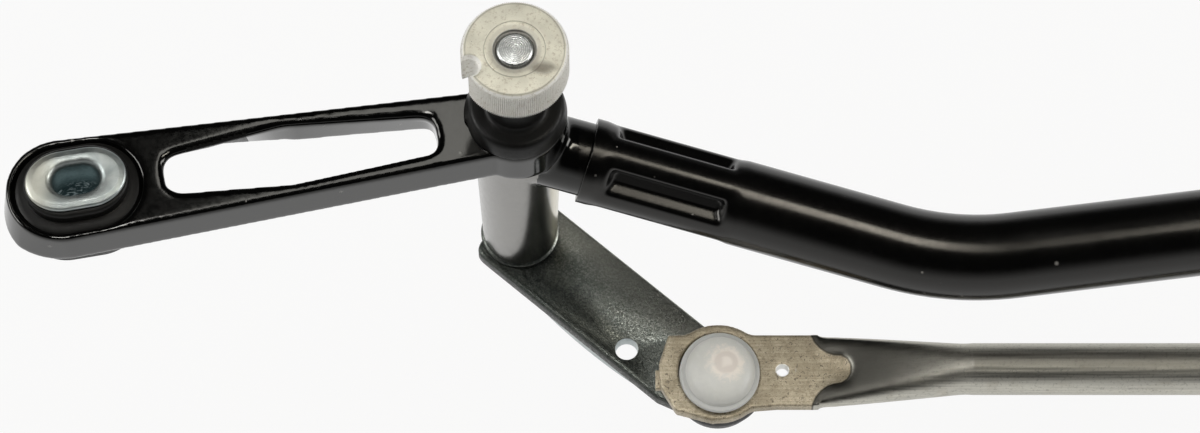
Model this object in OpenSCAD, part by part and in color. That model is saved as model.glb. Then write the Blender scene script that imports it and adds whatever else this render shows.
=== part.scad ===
// Windscreen wiper linkage: two wiper pivots on a tubular frame, with levers, a cross rod and a drive rod.
// X runs from the left pivot to the right one, Z runs up the pivot shafts towards the wiper arms.
// The origin is on the left shaft's axis, at the underside of its knurled drive head.

/* [Pivots] */
// Distance between the two wiper shafts
pivot_spacing = 500; // [440:5:600]
// Diameter of the wiper shafts in their bushes
shaft_d = 9; // [8:0.5:9.5]
// Diameter of the shaft's end inside the drive head
shaft_top_d = 8; // [7:0.5:8]
// Outside diameter of the plain bushes
bush_d = 12; // [11.5:0.5:13]
// Length of each plain bush
bush_l = 14; // [10:1:20]

/* [Drive head] */
// Outside diameter of the knurled drive head
head_d = 22; // [20:0.5:24]
// Height of the knurl
head_h = 9.1; // [7:0.1:11]
// Chamfer round the head's top edge
head_chamfer = 0.8; // [0.4:0.1:1.2]
// Width of the locating notch in the head's rim
notch_w = 3.7; // [3:0.1:4.5]
// Depth of the locating notch
notch_depth = 3; // [2.2:0.1:3.6]
// Direction of the locating notch, in degrees
notch_angle = 202; // [0:1:359]

/* [Pivot housing] */
// Distance from the head's underside down to the top of the housing
deck_drop = 21.6; // [18:0.1:26]
// Thickness of the mounting arm and the boss
arm_t = 10.5; // [8:0.5:12]
// Diameter of the boss round the shaft
boss_d = 21; // [20:0.5:24]
// Length of the bearing barrel below the boss
barrel_l = 50.2; // [42:0.2:60]
// Diameter of the barrel at the boss
barrel_top_d = 18.2; // [17:0.1:19]
// Diameter of the barrel at its foot
barrel_foot_d = 16; // [15.5:0.1:17]

/* [Dust seal] */
// Height of the dust seal's cup above the housing
seal_h = 4.5; // [4:0.1:6]
// Diameter of the seal's cup at its top
seal_top_d = 19.6; // [19:0.1:20]
// Wall of the seal's neck round the shaft
seal_neck_wall = 0.9; // [0.7:0.1:1.2]

/* [Mounting arm] */
// Distance along X from the shaft to the middle of the arm's round end
arm_reach = 93; // [85:0.5:105]
// Distance along Y from the shaft down to the middle of the arm's round end
arm_fall = 17; // [12:0.5:22]
// Radius of the arm's round end
arm_end_r = 11.4; // [11.2:0.1:13]
// Half width of the arm where it meets the boss
arm_root_r = 7.3; // [6.8:0.1:8]
// Offset of the arm's root from the shaft, along Y
arm_root_shift = 1.2; // [0.8:0.1:1.6]
// Distance from the shaft to the near end of the arm's window
window_near = 17; // [15:0.5:20]
// Distance from the shaft to the far end of the arm's window
window_far = 73.6; // [68:0.5:76]
// Distance from the shaft to the widest place of the window
window_mid = 48; // [44:0.5:52]
// Width of the window at its two ends
window_end_w = 8.6; // [7:0.2:9.4]
// Width of the window at its widest place
window_mid_w = 13.7; // [11:0.1:14]
// Corner radius of the window
window_corner = 3.4; // [2:0.1:3.6]
// Offset of the window's widest place from the arm's middle line
window_slant = 0.8; // [0:0.1:1.2]

/* [Rubber mount] */
// Distance of the rubber mount from the middle of the arm's round end, toward the shaft
mount_inset = 3; // [2:0.1:4]
// Straight length of the oval in the rubber mounts of the two arms
oval_straight = 6.4; // [5:0.1:8]
// End radius of the recess that the rubber mount sits in
recess_r = 9.9; // [9.6:0.1:10.4]
// Depth of that recess
recess_depth = 1.2; // [0.8:0.1:2]
// End radius of the rubber's body in the arm
rubber_core_r = 7.4; // [6.8:0.1:7.8]
// Height of the rubber above the arm
rubber_rise = 3.2; // [2.5:0.1:4]
// Height of the rubber below the arm
rubber_drop = 3.4; // [2.5:0.1:5]
// End radius of the sleeve's oval flange
flange_r = 6.65; // [6.2:0.05:7]
// Straight length of the sleeve's oval flange
flange_straight = 7.5; // [6:0.1:8]
// Thickness of the sleeve's flange
flange_t = 1.3; // [1:0.1:1.6]
// Width of the bolt slot in the sleeve
slot_w = 6.6; // [6.2:0.1:7]
// Straight length of the bolt slot
slot_straight = 3.4; // [2.6:0.1:4]
// Wall of the sleeve
sleeve_wall = 1.3; // [1:0.1:1.6]

/* [Frame tube] */
// Outside diameter of the frame tube
tube_d = 18; // [17:0.5:19]
// Wall of the frame tube
tube_wall = 1.2; // [1:0.1:1.5]
// Distance from the head's underside down to the neck's axis, at the shaft
neck_level = 35.3; // [33:0.1:38]
// Distance from the shaft along the neck to the end of the tube
neck_out = 15; // [14:0.1:18]
// Length of the neck inside the tube
neck_in = 34; // [32:0.5:40]
// Place of the tube's outer bends along X, from each shaft
bend_x = 90.8; // [80:0.1:100]
// Fall of the tube's outer bends along Y, from the shafts
bend_fall = 21.2; // [18:0.1:24]
// Height of the tube's axis between its outer bends, above the cross rod's axis
tube_over_rod = 20.8; // [19:0.1:23]
// Fall of the tube's middle along Y, from the shafts
apex_fall = 0.7; // [0:0.1:6]
// Radius of the two outer bends, at the tube's centre line
bend_r = 65; // [55:1:75]
// Radius of the middle bend, at the tube's centre line
apex_r = 120; // [90:5:150]
// Length of the crimped pockets that hold the tube on the neck
crimp_l = 25; // [20:0.5:27]
// Width of the crimped pockets
crimp_w = 5.8; // [5:0.1:6.4]
// Depth of the crimped pockets
crimp_depth = 2.2; // [1.8:0.1:2.4]
// Distance from the end of the tube to the crimped pockets
crimp_inset = 5; // [4:0.1:6]

/* [Levers] */
// Distance from the shaft to the ball that holds the cross rod
lever_r = 56.2; // [50:0.1:62]
// Direction of the levers at rest, in degrees
lever_angle = -41.3; // [-45:0.1:-38]
// Width of the levers
lever_w = 19.2; // [18:0.1:21]
// Radius of the lever's tip round the ball stud
lever_tip_r = 6.8; // [6.4:0.1:7.5]
// Length over which the lever narrows to its tip
lever_taper_l = 12; // [8:0.5:14]
// Thickness of the levers
lever_t = 3.5; // [3:0.1:4]
// Diameter of the tooling hole in each lever
tooling_d = 4.8; // [4:0.1:5.2]
// Distance from the shaft along the lever to the tooling hole
tooling_along = 35; // [32:0.5:38]
// Offset of the tooling hole from the lever's middle line
tooling_offset = 5.4; // [4.8:0.1:5.6]
// Depth of the stiffening lip under the lever's lower edge
lip_depth = 3; // [2:0.1:4]
// Length of the stiffening lip
lip_l = 30; // [24:1:34]
// Distance from the right shaft to the ball that holds the drive rod
drive_r = 48; // [44:0.5:52]
// Direction of that ball from the right shaft, in degrees
drive_angle = 137.5; // [135:0.5:140]

/* [Ball joints] */
// Diameter of the balls
ball_d = 13; // [12:0.1:14]
// Height of the ball's centre above the lever
ball_rise = 8.5; // [8:0.1:9.5]
// Running clearance round shafts and balls
run_gap = 0.05; // [0.03:0.01:0.08]
// Outside diameter of the nylon ball sockets
socket_d = 16.9; // [16.4:0.1:17.6]
// Height of the socket's top above the rod's flat end
socket_rise = 4.9; // [4.4:0.1:6]
// Outside diameter of the dust boots
boot_d = 20.6; // [20:0.1:21.4]

/* [Rods] */
// Diameter of the rods
rod_d = 11; // [10:0.5:12]
// Wall of the rods
rod_wall = 1.2; // [1:0.1:1.5]
// Width of a rod's flattened end
flat_w = 16.3; // [15:0.1:17]
// Thickness of a rod's flattened end
flat_t = 2.6; // [2.2:0.1:3]
// Length of the flattened end from the ball to its shoulder
flat_l = 20; // [18:0.5:22]
// Distance from the ball to the place where the rod is round again
round_from = 52; // [46:1:60]
// Height of the rod's axis above the middle of its flat end
rod_lift = 1.9; // [1:0.1:2.4]
// Radius of the eye round the socket
eye_r = 10.5; // [10.4:0.1:11.5]
// Distance from the ball to the drain hole
drain_along = 13.5; // [13:0.1:14.5]
// Diameter of the drain hole
drain_d = 2.7; // [2:0.1:3.2]
// Length of the drive rod, from ball to ball
drive_rod_l = 150; // [130:1:170]

/* [Motor bracket] */
// Thickness of the motor bracket
bracket_t = 2.5; // [2:0.1:3]
// Diameter of the hole for the motor's shaft boss
motor_hole_d = 28; // [24:0.5:32]
// Diameter of the circle of motor bolts
motor_pcd = 64; // [58:0.5:68]
// Diameter of the motor bolt holes
motor_bolt_d = 6.6; // [6:0.1:7]
// Distance from the motor's axis to the bracket's rubber mount, along Y
foot_reach = 62; // [54:1:70]
// Distance between the two straps that hold the bracket on the tube
strap_pitch = 60; // [50:1:66]
// Width of each strap
strap_w = 14; // [12:0.5:16]
// Thickness of each strap
strap_t = 1.8; // [1.4:0.1:2.2]
// Diameter of the strap rivets
rivet_d = 5; // [4:0.1:5.5]

/* [Hidden] */
$fn = 64;
over = 1;             // overshoot of a cut past the face it opens
eps = 0.01;           // overlap of stacked blocks of one piece
neck_gap = 0.05;      // clearance of the neck in the tube
crimp_gap = 0.1;      // clearance of the crimped wall in the neck's pocket
face_gap = 0.1;       // running gap between flat faces that turn on each other
rubber_gap = 0.3;     // room between the rubber and the arm's recess
seat_t = 1;           // thickness of thrust washers and retaining rings
lap = 0.5;            // overlap of the tube's straight stretches into its bends
lap_swell = 0.02;     // how much thicker the bends are there
side_inset = 0.02;    // how far straight sides lie inside the tangents of their round ends
rod_step = 0.1;       // step where a rod's pressed end meets its round tube

// Colours of the finishes
black_paint = [0.05, 0.05, 0.055];
zinc_casting = [0.80, 0.79, 0.75];
zinc_plate = [0.62, 0.66, 0.66];
bright_steel = [0.70, 0.71, 0.72];
rod_steel = [0.50, 0.49, 0.44];
lever_steel = [0.42, 0.44, 0.42];
rubber_black = [0.035, 0.035, 0.04];
nylon_white = [0.87, 0.87, 0.85];
bronze = [0.66, 0.47, 0.26];

// Levels along Z
deck_z = -deck_drop;
boss_foot_z = deck_z - arm_t;
barrel_foot_z = boss_foot_z - barrel_l;
foot_washer_t = 1.4;
lever_top_z = barrel_foot_z - foot_washer_t - 2 * face_gap;
lever_foot_z = lever_top_z - lever_t;
ball_z = lever_top_z + ball_rise;
flat_rise = 1.7;
flat_foot_z = ball_z + flat_rise;
flat_top_z = flat_foot_z + flat_t;
rod_z = flat_foot_z + flat_t / 2 + rod_lift;
head_top_z = head_h + head_chamfer;
bend_z = rod_z + tube_over_rod;
plate_top_z = bend_z - tube_d / 2;

// Sizes of the shaft, the seal and the rubber mounts
shaft_r = shaft_d / 2;
spigot_r = shaft_r - 0.5;
upset_r = shaft_r + 1.2;
upset_h = 2;
groove_depth = 0.45;
groove_z = deck_z + seat_t + face_gap;
shaft_end_chamfer = 0.65;
stake_w = 0.4;
stake_depth = 1;
upset_chamfer = 0.8;
shaft_sink = 0.1;
ring_w = 2.4;
ring_mouth = 60;
washer_w = 2.8;
foot_washer_w = 0.6;
seal_roof = 1.2;
seal_wall = 1.6;
seal_top_gap = 0.5;
sleeve_stand = 0.6;
pad_w = 0.5;

// Mounting arm: place of its rubber mount, and direction from the shaft
arm_end_at = [-arm_reach, -arm_fall];
mount_angle = atan2(arm_fall, arm_reach);
mount_at = arm_end_at + mount_inset * [cos(mount_angle), sin(mount_angle)];

// Rubber mount levels
recess_z = deck_z - recess_depth;
rubber_top_z = deck_z + rubber_rise;
rubber_foot_z = boss_foot_z - rubber_drop;
sleeve_foot_z = rubber_foot_z - sleeve_stand;
sleeve_r = slot_w / 2 + sleeve_wall;
rubber_pad_r = flange_r + pad_w;
rubber_flange_r = recess_r - rubber_gap;

// Frame tube's centre line
tube_r = tube_d / 2;
neck_r = tube_r - tube_wall - neck_gap;
neck_root = [0, 0, -neck_level];
left_bend = [bend_x, -bend_fall, bend_z];
neck_dir = unit(left_bend - neck_root);
middle_at = [pivot_spacing / 2, -apex_fall, bend_z];
middle_dir = unit(middle_at - left_bend);
first_turn = acos(neck_dir * middle_dir);
second_turn = atan2(middle_dir[1], middle_dir[0]);
first_set = bend_r * tan(first_turn / 2);
first_l = norm(left_bend - neck_root) - first_set;
second_l = norm(middle_at - left_bend) - first_set - apex_r * tan(second_turn);
neck_down = [neck_dir[2] * neck_dir[0], neck_dir[2] * neck_dir[1], neck_dir[2] * neck_dir[2] - 1];
neck_side = [-neck_dir[1], neck_dir[0], 0];
first_roll = atan2(middle_dir * unit(neck_side), middle_dir * unit(neck_down));
bend_side = unit(middle_dir - (middle_dir * neck_dir) * neck_dir);
bend_in = cos(first_turn) * bend_side - sin(first_turn) * neck_dir;
bend_pole = cross(neck_dir, bend_side);
fall_side = [middle_dir[1], -middle_dir[0], 0];
second_roll = atan2(fall_side * bend_pole, fall_side * bend_in);

// Balls, rods and motor
ball_r = ball_d / 2;
ball_at = lever_r * [cos(lever_angle), sin(lever_angle)];
right_ball_at = ball_at + [pivot_spacing, 0];
drive_arm = drive_r * [cos(drive_angle), sin(drive_angle)];
drive_ball_at = [pivot_spacing, 0] + drive_arm;
crank_ball_at = drive_ball_at - [drive_rod_l, 0];
motor_at = crank_ball_at - [drive_arm[0], 0];
foot_at = motor_at + [0, foot_reach];
motor_bolt_angles = [90, 210, 330];

// Bracket straps: places on the tube's slanting middle stretch
stretch_dir = [middle_dir[0], -middle_dir[1], 0];
stretch_angle = -second_turn;
strap_base = middle_at + stretch_dir * (motor_at[0] - middle_at[0]) / stretch_dir[0];
strap_foot_l = 13;
rivet_offset = tube_r + strap_t + strap_foot_l / 2;
rivet_head_d = rivet_d + 3.5;
rivet_head_h = 1.6;

// Ball studs, their nylon sockets and their dust boots
lip_t = 1.6;
stud_r = 3;
stud_flange_r = 6;
stud_flange_h = 1.5;
stud_neck_r = 3.6;
stud_head_r = 4.8;
stud_head_h = 1.8;
socket_r = socket_d / 2;
socket_edge = 1.2;
socket_step = 0.4;
collar_t = 1.4;
collar_w = 0.6;
collar_r = socket_r + collar_w;
skirt_drop = 2.5;
skirt_z = ball_z - skirt_drop;
boot_r = boot_d / 2;
boot_gap = 0.4;
boot_edge = 0.5;
boot_taper = 2;
boot_lip_h = 1.2;
boot_fit = 0.1;

// Rods' ends: outline of the tab round the eye, and of the coined tongue
tab = eye_r * [[-0.51, 0.78], [-1.01, 0.76], [-1.2, 0.15], [-1.18, -0.3], [-0.86, -0.82], [-0.29, -0.97]];
eye_blend = 4;
tongue_r = 3.4;
tongue_l = 27.9;
tongue_blend = 2.6;

// Motor bracket and its rubber mount
bracket_corner_r = 8;
plate_foot_z = plate_top_z - bracket_t;
foot_hole_r = 8;
foot_pad_r = 11;
foot_flange_t = 3.2;
foot_rubber_top_z = plate_top_z + foot_flange_t;
foot_rubber_foot_z = plate_foot_z - foot_flange_t;
foot_sleeve_foot_z = foot_rubber_foot_z - sleeve_stand;
foot_rim_w = 3;
foot_flange_inset = 1.5;

// Vector helpers
function unit(v) = v / norm(v);

// Placing helpers
module at_right() { translate([pivot_spacing, 0, 0]) children(); }
module at_right_mirrored() { translate([pivot_spacing, 0, 0]) mirror([1, 0, 0]) children(); }
module at_point(p, z) { translate([p[0], p[1], z]) children(); }
module along(start, dir) {
  translate(start) rotate([0, acos(dir[2]), atan2(dir[1], dir[0])]) children();
}

// An oval with round ends, its long axis along X
module oval(r, straight) {
  for (side = [-1, 1]) translate([side * straight / 2, 0]) circle(r);
  square([straight, 2 * r], center = true);
}
module oval_block(r, straight, z0, z1) {
  translate([0, 0, z0]) linear_extrude(z1 - z0) oval(r, straight);
}

// The outline round two circles, with sides that start a hair inside their common tangents
module tangent_outline(c1, r1, c2, r2) {
  axis_angle = atan2(c2[1] - c1[1], c2[0] - c1[0]);
  side_angle = acos((r1 - r2) / norm(c2 - c1));
  up = [cos(axis_angle + side_angle), sin(axis_angle + side_angle)];
  down = [cos(axis_angle - side_angle), sin(axis_angle - side_angle)];
  translate(c1) circle(r1);
  translate(c2) circle(r2);
  s1 = r1 - side_inset;
  s2 = r2 - side_inset;
  polygon([c1 + s1 * up, c1 + s1 * down, c2 + s2 * down, c2 + s2 * up]);
}

// A round bar down the tube's centre line; the straight stretches lap into arcs that are a hair thicker
module arc_bar(r, radius, angle) {
  translate([radius, 0, 0]) multmatrix([[-1, 0, 0, 0], [0, 0, 1, 0], [0, 1, 0, 0], [0, 0, 0, 1]])
    rotate_extrude(angle = angle) translate([radius, 0]) circle(r + lap_swell);
}
module past_arc(radius, angle) {
  translate([radius, 0, 0]) rotate([0, angle, 0]) translate([-radius, 0, 0]) children();
}
module half_bar(r, overrun) {
  along(neck_root, neck_dir) rotate(first_roll) {
    translate([0, 0, neck_out - overrun]) cylinder(r = r, h = first_l - neck_out + overrun + lap);
    translate([0, 0, first_l]) {
      arc_bar(r, bend_r, first_turn);
      past_arc(bend_r, first_turn) rotate(second_roll) {
        translate([0, 0, -lap]) cylinder(r = r, h = second_l + 2 * lap);
        translate([0, 0, second_l]) children();
      }
    }
  }
}
module whole_bar(r, overrun) {
  half_bar(r, overrun) arc_bar(r, apex_r, 2 * second_turn);
  at_right_mirrored() half_bar(r, overrun);
}

// Blocks at the four crimped pockets of the tube's left end, grown by a margin and cut at two radii
module crimp_blocks(margin, inner, outer) {
  along(neck_root + (neck_out + crimp_inset) * neck_dir, neck_dir)
    for (turn = [45 : 90 : 315]) rotate(turn)
      translate([inner, -crimp_w / 2 - margin, -margin])
        cube([outer - inner, crimp_w + 2 * margin, crimp_l + 2 * margin]);
}

// Pivot housing: boss, bearing barrel, mounting arm with its window, and the neck for the frame tube
module arm_window() {
  rotate(180 + mount_angle) translate([0, window_slant])
    offset(r = window_corner) offset(delta = -window_corner) polygon([
      [window_near, -window_end_w / 2 + window_slant], [window_mid, -window_mid_w / 2],
      [window_far, -window_end_w / 2], [window_far, window_end_w / 2],
      [window_mid, window_mid_w / 2], [window_near, window_end_w / 2 + window_slant]
    ]);
}
module pivot_housing() {
  color(black_paint) difference() {
    union() {
      translate([0, 0, boss_foot_z]) cylinder(d = boss_d, h = arm_t);
      translate([0, 0, barrel_foot_z]) cylinder(d1 = barrel_foot_d, d2 = barrel_top_d, h = barrel_l);
      translate([0, 0, boss_foot_z]) linear_extrude(arm_t) difference() {
        tangent_outline(arm_end_at, arm_end_r, [0, -arm_root_shift], arm_root_r);
        arm_window();
      }
      along(neck_root, neck_dir) cylinder(r = neck_r, h = neck_out + neck_in);
    }
    translate([0, 0, barrel_foot_z - over]) cylinder(d = bush_d, h = barrel_l + arm_t + 2 * over);
    at_point(mount_at, 0) rotate(mount_angle) {
      oval_block(rubber_core_r, oval_straight, boss_foot_z - over, deck_z + over);
      oval_block(recess_r, oval_straight, recess_z, deck_z + over);
    }
    crimp_blocks(tube_wall + crimp_gap, tube_r - crimp_depth - tube_wall - crimp_gap, tube_r);
  }
}

// Frame tube, pressed into the neck's pockets at both ends
module crimp_pans() {
  intersection() {
    crimp_blocks(tube_wall, tube_r - crimp_depth - tube_wall, tube_r);
    along(neck_root, neck_dir) cylinder(r = tube_r - tube_wall / 2, h = neck_out + neck_in);
  }
}
module frame_tube() {
  color(black_paint) difference() {
    union() {
      difference() {
        whole_bar(tube_r, 0);
        whole_bar(tube_r - tube_wall, over);
      }
      crimp_pans();
      at_right_mirrored() crimp_pans();
    }
    crimp_blocks(0, tube_r - crimp_depth, tube_r + over);
    at_right_mirrored() crimp_blocks(0, tube_r - crimp_depth, tube_r + over);
  }
}

// Plain bush with its foot at z0
module bush(z0) {
  color(bronze) translate([0, 0, z0]) difference() {
    cylinder(d = bush_d, h = bush_l);
    translate([0, 0, -over]) cylinder(r = shaft_r + run_gap, h = bush_l + 2 * over);
  }
}
module upper_bush() { bush(deck_z - bush_l); }
module lower_bush() { bush(barrel_foot_z); }

// Dust seal: a cup over the boss with a neck round the shaft
module dust_seal() {
  top = deck_z + seal_h;
  inner_r = shaft_r + run_gap;
  neck_outer_r = inner_r + seal_neck_wall;
  color(rubber_black) rotate_extrude() polygon([
    [boss_d / 2 - seal_wall, deck_z], [boss_d / 2, deck_z], [seal_top_d / 2, top],
    [neck_outer_r, top], [neck_outer_r, -seal_top_gap], [inner_r, -seal_top_gap],
    [inner_r, top - seal_roof], [seal_top_d / 2 - seal_wall, top - seal_roof]
  ]);
}

// Rubber mount of an arm, and the steel sleeve through it
module mount_grommet() {
  color(rubber_black) at_point(mount_at, 0) rotate(mount_angle) difference() {
    union() {
      oval_block(rubber_flange_r, oval_straight, recess_z, deck_z + rubber_rise / 2);
      oval_block(rubber_pad_r, flange_straight, deck_z + rubber_rise / 2 - eps, rubber_top_z);
      oval_block(rubber_core_r, oval_straight, rubber_foot_z, recess_z + eps);
      oval_block(rubber_flange_r, oval_straight, rubber_foot_z, boss_foot_z);
    }
    oval_block(sleeve_r, slot_straight, rubber_foot_z - over, rubber_top_z + over);
  }
}
module mount_sleeve() {
  color(zinc_plate) at_point(mount_at, 0) rotate(mount_angle) difference() {
    union() {
      oval_block(sleeve_r, slot_straight, sleeve_foot_z, rubber_top_z);
      oval_block(flange_r, flange_straight, rubber_top_z, rubber_top_z + flange_t);
    }
    oval_block(slot_w / 2, slot_straight, sleeve_foot_z - over, rubber_top_z + flange_t + over);
  }
}

// Pivot shaft, upset under the lever and stepped down inside the drive head
module pivot_shaft() {
  top_r = shaft_top_d / 2;
  end_z = head_top_z - shaft_sink;
  groove_r = shaft_r - groove_depth;
  color(bright_steel) rotate_extrude() polygon([
    [0, lever_foot_z - upset_h], [upset_r - upset_chamfer, lever_foot_z - upset_h],
    [upset_r, lever_foot_z - upset_h + upset_chamfer], [upset_r, lever_foot_z],
    [spigot_r, lever_foot_z], [spigot_r, lever_top_z], [shaft_r, lever_top_z],
    [shaft_r, groove_z], [groove_r, groove_z], [groove_r, groove_z + seat_t],
    [shaft_r, groove_z + seat_t], [shaft_r, 0], [top_r, 0],
    [top_r, end_z - shaft_end_chamfer], [top_r - shaft_end_chamfer, end_z], [0, end_z]
  ]);
}

// Knurled drive head, with a locating notch and a staking groove round the shaft's end
module drive_head() {
  color(zinc_casting) difference() {
    union() {
      cylinder(d = head_d, h = head_h);
      translate([0, 0, head_h]) cylinder(d1 = head_d, d2 = head_d - 2 * head_chamfer, h = head_chamfer);
    }
    translate([0, 0, -over]) cylinder(d = shaft_top_d, h = head_top_z + 2 * over);
    translate([0, 0, head_top_z - stake_depth])
      cylinder(d = shaft_top_d + 2 * stake_w, h = stake_depth + over);
    rotate(notch_angle) translate([head_d / 2 - notch_depth + notch_w / 2, 0, -over]) {
      cylinder(d = notch_w, h = head_top_z + 2 * over);
      translate([0, -notch_w / 2, 0]) cube([notch_depth, notch_w, head_top_z + 2 * over]);
    }
  }
}

// Open ring in the shaft's groove, which holds the shaft up in its bushes
module retaining_ring() {
  color(bright_steel) translate([0, 0, groove_z])
    rotate(ring_mouth / 2) rotate_extrude(angle = 360 - ring_mouth)
      translate([shaft_r - groove_depth, 0]) square([ring_w + groove_depth, seat_t]);
}
module washer(r, z0, t) {
  translate([0, 0, z0]) difference() {
    cylinder(r = r, h = t);
    translate([0, 0, -over]) cylinder(r = shaft_r + run_gap, h = t + 2 * over);
  }
}
module thrust_washer() { color(bright_steel) washer(shaft_r + washer_w, deck_z + face_gap, seat_t); }
module foot_washer() {
  color(zinc_plate) washer(barrel_foot_d / 2 + foot_washer_w, lever_top_z, foot_washer_t);
}

// Levers: stamped plates with a lip under one edge
module lever_arm(angle, reach) {
  side = lever_w / 2 - side_inset;
  corner = [-lever_taper_l, side];
  tip_r = lever_tip_r - side_inset;
  tip_angle = atan2(corner[1], corner[0]) - acos(tip_r / norm(corner));
  tip = tip_r * [cos(tip_angle), sin(tip_angle)];
  circle(lever_w / 2);
  rotate(angle) {
    translate([reach, 0]) circle(lever_tip_r);
    polygon([
      [0, -side], [reach + corner[0], -side], [reach + tip[0], -tip[1]],
      [reach + tip[0], tip[1]], [reach + corner[0], side], [0, side]
    ]);
  }
}
module lever_holes(angle, reach) {
  hole_h = lever_t + 2 * over;
  cylinder(r = spigot_r, h = hole_h);
  rotate(angle) {
    translate([reach, 0, 0]) cylinder(r = stud_r, h = hole_h);
    translate([tooling_along, -tooling_offset, 0]) cylinder(d = tooling_d, h = hole_h);
  }
}
module lever_lip(angle) {
  rise = lip_depth + lever_t / 2;
  radius = (lip_l * lip_l / 4 + rise * rise) / (2 * rise);
  rotate(angle) translate([lever_r / 2, -lever_w / 2 + lip_t, lever_foot_z]) rotate([90, 0, 0])
    linear_extrude(lip_t) intersection() {
      translate([0, radius - lip_depth]) circle(radius);
      translate([-lip_l / 2, -lip_depth]) square([lip_l, lip_depth + lever_t / 2]);
    }
}
module left_lever() {
  color(lever_steel) difference() {
    union() {
      translate([0, 0, lever_foot_z]) linear_extrude(lever_t) lever_arm(lever_angle, lever_r);
      lever_lip(lever_angle);
    }
    translate([0, 0, lever_foot_z - over]) lever_holes(lever_angle, lever_r);
  }
}
module right_lever() {
  color(lever_steel) at_right() difference() {
    union() {
      translate([0, 0, lever_foot_z]) linear_extrude(lever_t) {
        lever_arm(lever_angle, lever_r);
        lever_arm(drive_angle, drive_r);
      }
      lever_lip(lever_angle);
    }
    translate([0, 0, lever_foot_z - over]) {
      lever_holes(lever_angle, lever_r);
      lever_holes(drive_angle, drive_r);
    }
  }
}

// Ball stud riveted in a lever
module ball_stud(p) {
  color(bright_steel) at_point(p, 0) {
    translate([0, 0, ball_z]) sphere(r = ball_r);
    translate([0, 0, lever_top_z]) cylinder(r = stud_neck_r, h = ball_rise);
    translate([0, 0, lever_top_z]) cylinder(r = stud_flange_r, h = stud_flange_h);
    translate([0, 0, lever_foot_z]) cylinder(r = stud_r, h = lever_t);
    translate([0, 0, lever_foot_z - stud_head_h]) cylinder(r = stud_head_r, h = stud_head_h);
  }
}

// Nylon socket snapped over a ball, held in the rod's eye by a collar
module ball_socket(p) {
  top_z = flat_top_z + socket_rise;
  skirt_r = socket_r - socket_step;
  color(nylon_white) at_point(p, 0) difference() {
    rotate_extrude() polygon([
      [0, skirt_z], [skirt_r, skirt_z], [skirt_r, flat_foot_z - collar_t],
      [collar_r, flat_foot_z - collar_t], [collar_r, flat_foot_z], [socket_r, flat_foot_z],
      [socket_r, top_z - socket_edge], [socket_r - socket_edge, top_z], [0, top_z]
    ]);
    translate([0, 0, ball_z]) sphere(r = ball_r + run_gap);
  }
}

// Dust boot between the rod's eye and the lever
module dust_boot(p) {
  lip_r = stud_flange_r + boot_gap;
  foot_z = lever_top_z + boot_gap;
  knee_z = skirt_z - boot_gap;
  bore_r = collar_r + boot_fit;
  color(rubber_black) at_point(p, 0) rotate_extrude() polygon([
    [bore_r, flat_foot_z], [boot_r - boot_edge, flat_foot_z],
    [boot_r, flat_foot_z - boot_edge], [boot_r, knee_z],
    [boot_r - boot_taper, foot_z], [lip_r, foot_z], [lip_r, foot_z + boot_lip_h], [bore_r, knee_z]
  ]);
}

// Rods: round tubes with both ends pressed flat, and an eye for the socket in each
module rod_flat() {
  difference() {
    offset(r = -eye_blend) offset(delta = eye_blend) {
      circle(eye_r);
      translate([0, -flat_w / 2]) square([flat_l - lap / 2, flat_w]);
      polygon(concat(tab, [[0, 0]]));
    }
    translate([drain_along, 0]) circle(d = drain_d);
  }
}
module tongue_cut() {
  offset(r = -tongue_blend) offset(delta = tongue_blend) {
    translate([0, -flat_w]) square([flat_l, 2 * flat_w]);
    translate([0, -tongue_r]) square([tongue_l - tongue_r, 2 * tongue_r]);
    translate([tongue_l - tongue_r, 0]) circle(tongue_r);
  }
}
module rod_end() {
  difference() {
    union() {
      translate([0, 0, flat_foot_z]) linear_extrude(flat_t) rod_flat();
      hull() {
        translate([flat_l - lap, -flat_w / 2 - side_inset, flat_foot_z - side_inset])
          cube([lap, flat_w + 2 * side_inset, flat_t + 2 * side_inset]);
        translate([round_from + lap / 2, 0, rod_z]) rotate([0, 90, 0])
          cylinder(d = rod_d - 2 * rod_step, h = lap / 2, $fn = 32);
      }
    }
    translate([0, 0, flat_foot_z - over]) cylinder(r = socket_r, h = flat_t + 2 * over);
    translate([0, 0, flat_top_z + 3 * side_inset]) linear_extrude(rod_d) tongue_cut();
  }
}
module link_rod(length) {
  color(rod_steel) {
    rod_end();
    translate([length, 0, 0]) mirror([1, 0, 0]) rod_end();
    translate([round_from, 0, rod_z]) rotate([0, 90, 0]) difference() {
      cylinder(d = rod_d, h = length - 2 * round_from);
      translate([0, 0, rod_wall])
        cylinder(d = rod_d - 2 * rod_wall, h = length - 2 * (round_from + rod_wall));
    }
  }
}
module cross_rod() { at_point(ball_at, 0) link_rod(pivot_spacing); }
module drive_rod() { at_point(crank_ball_at, 0) link_rod(drive_rod_l); }

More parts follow.
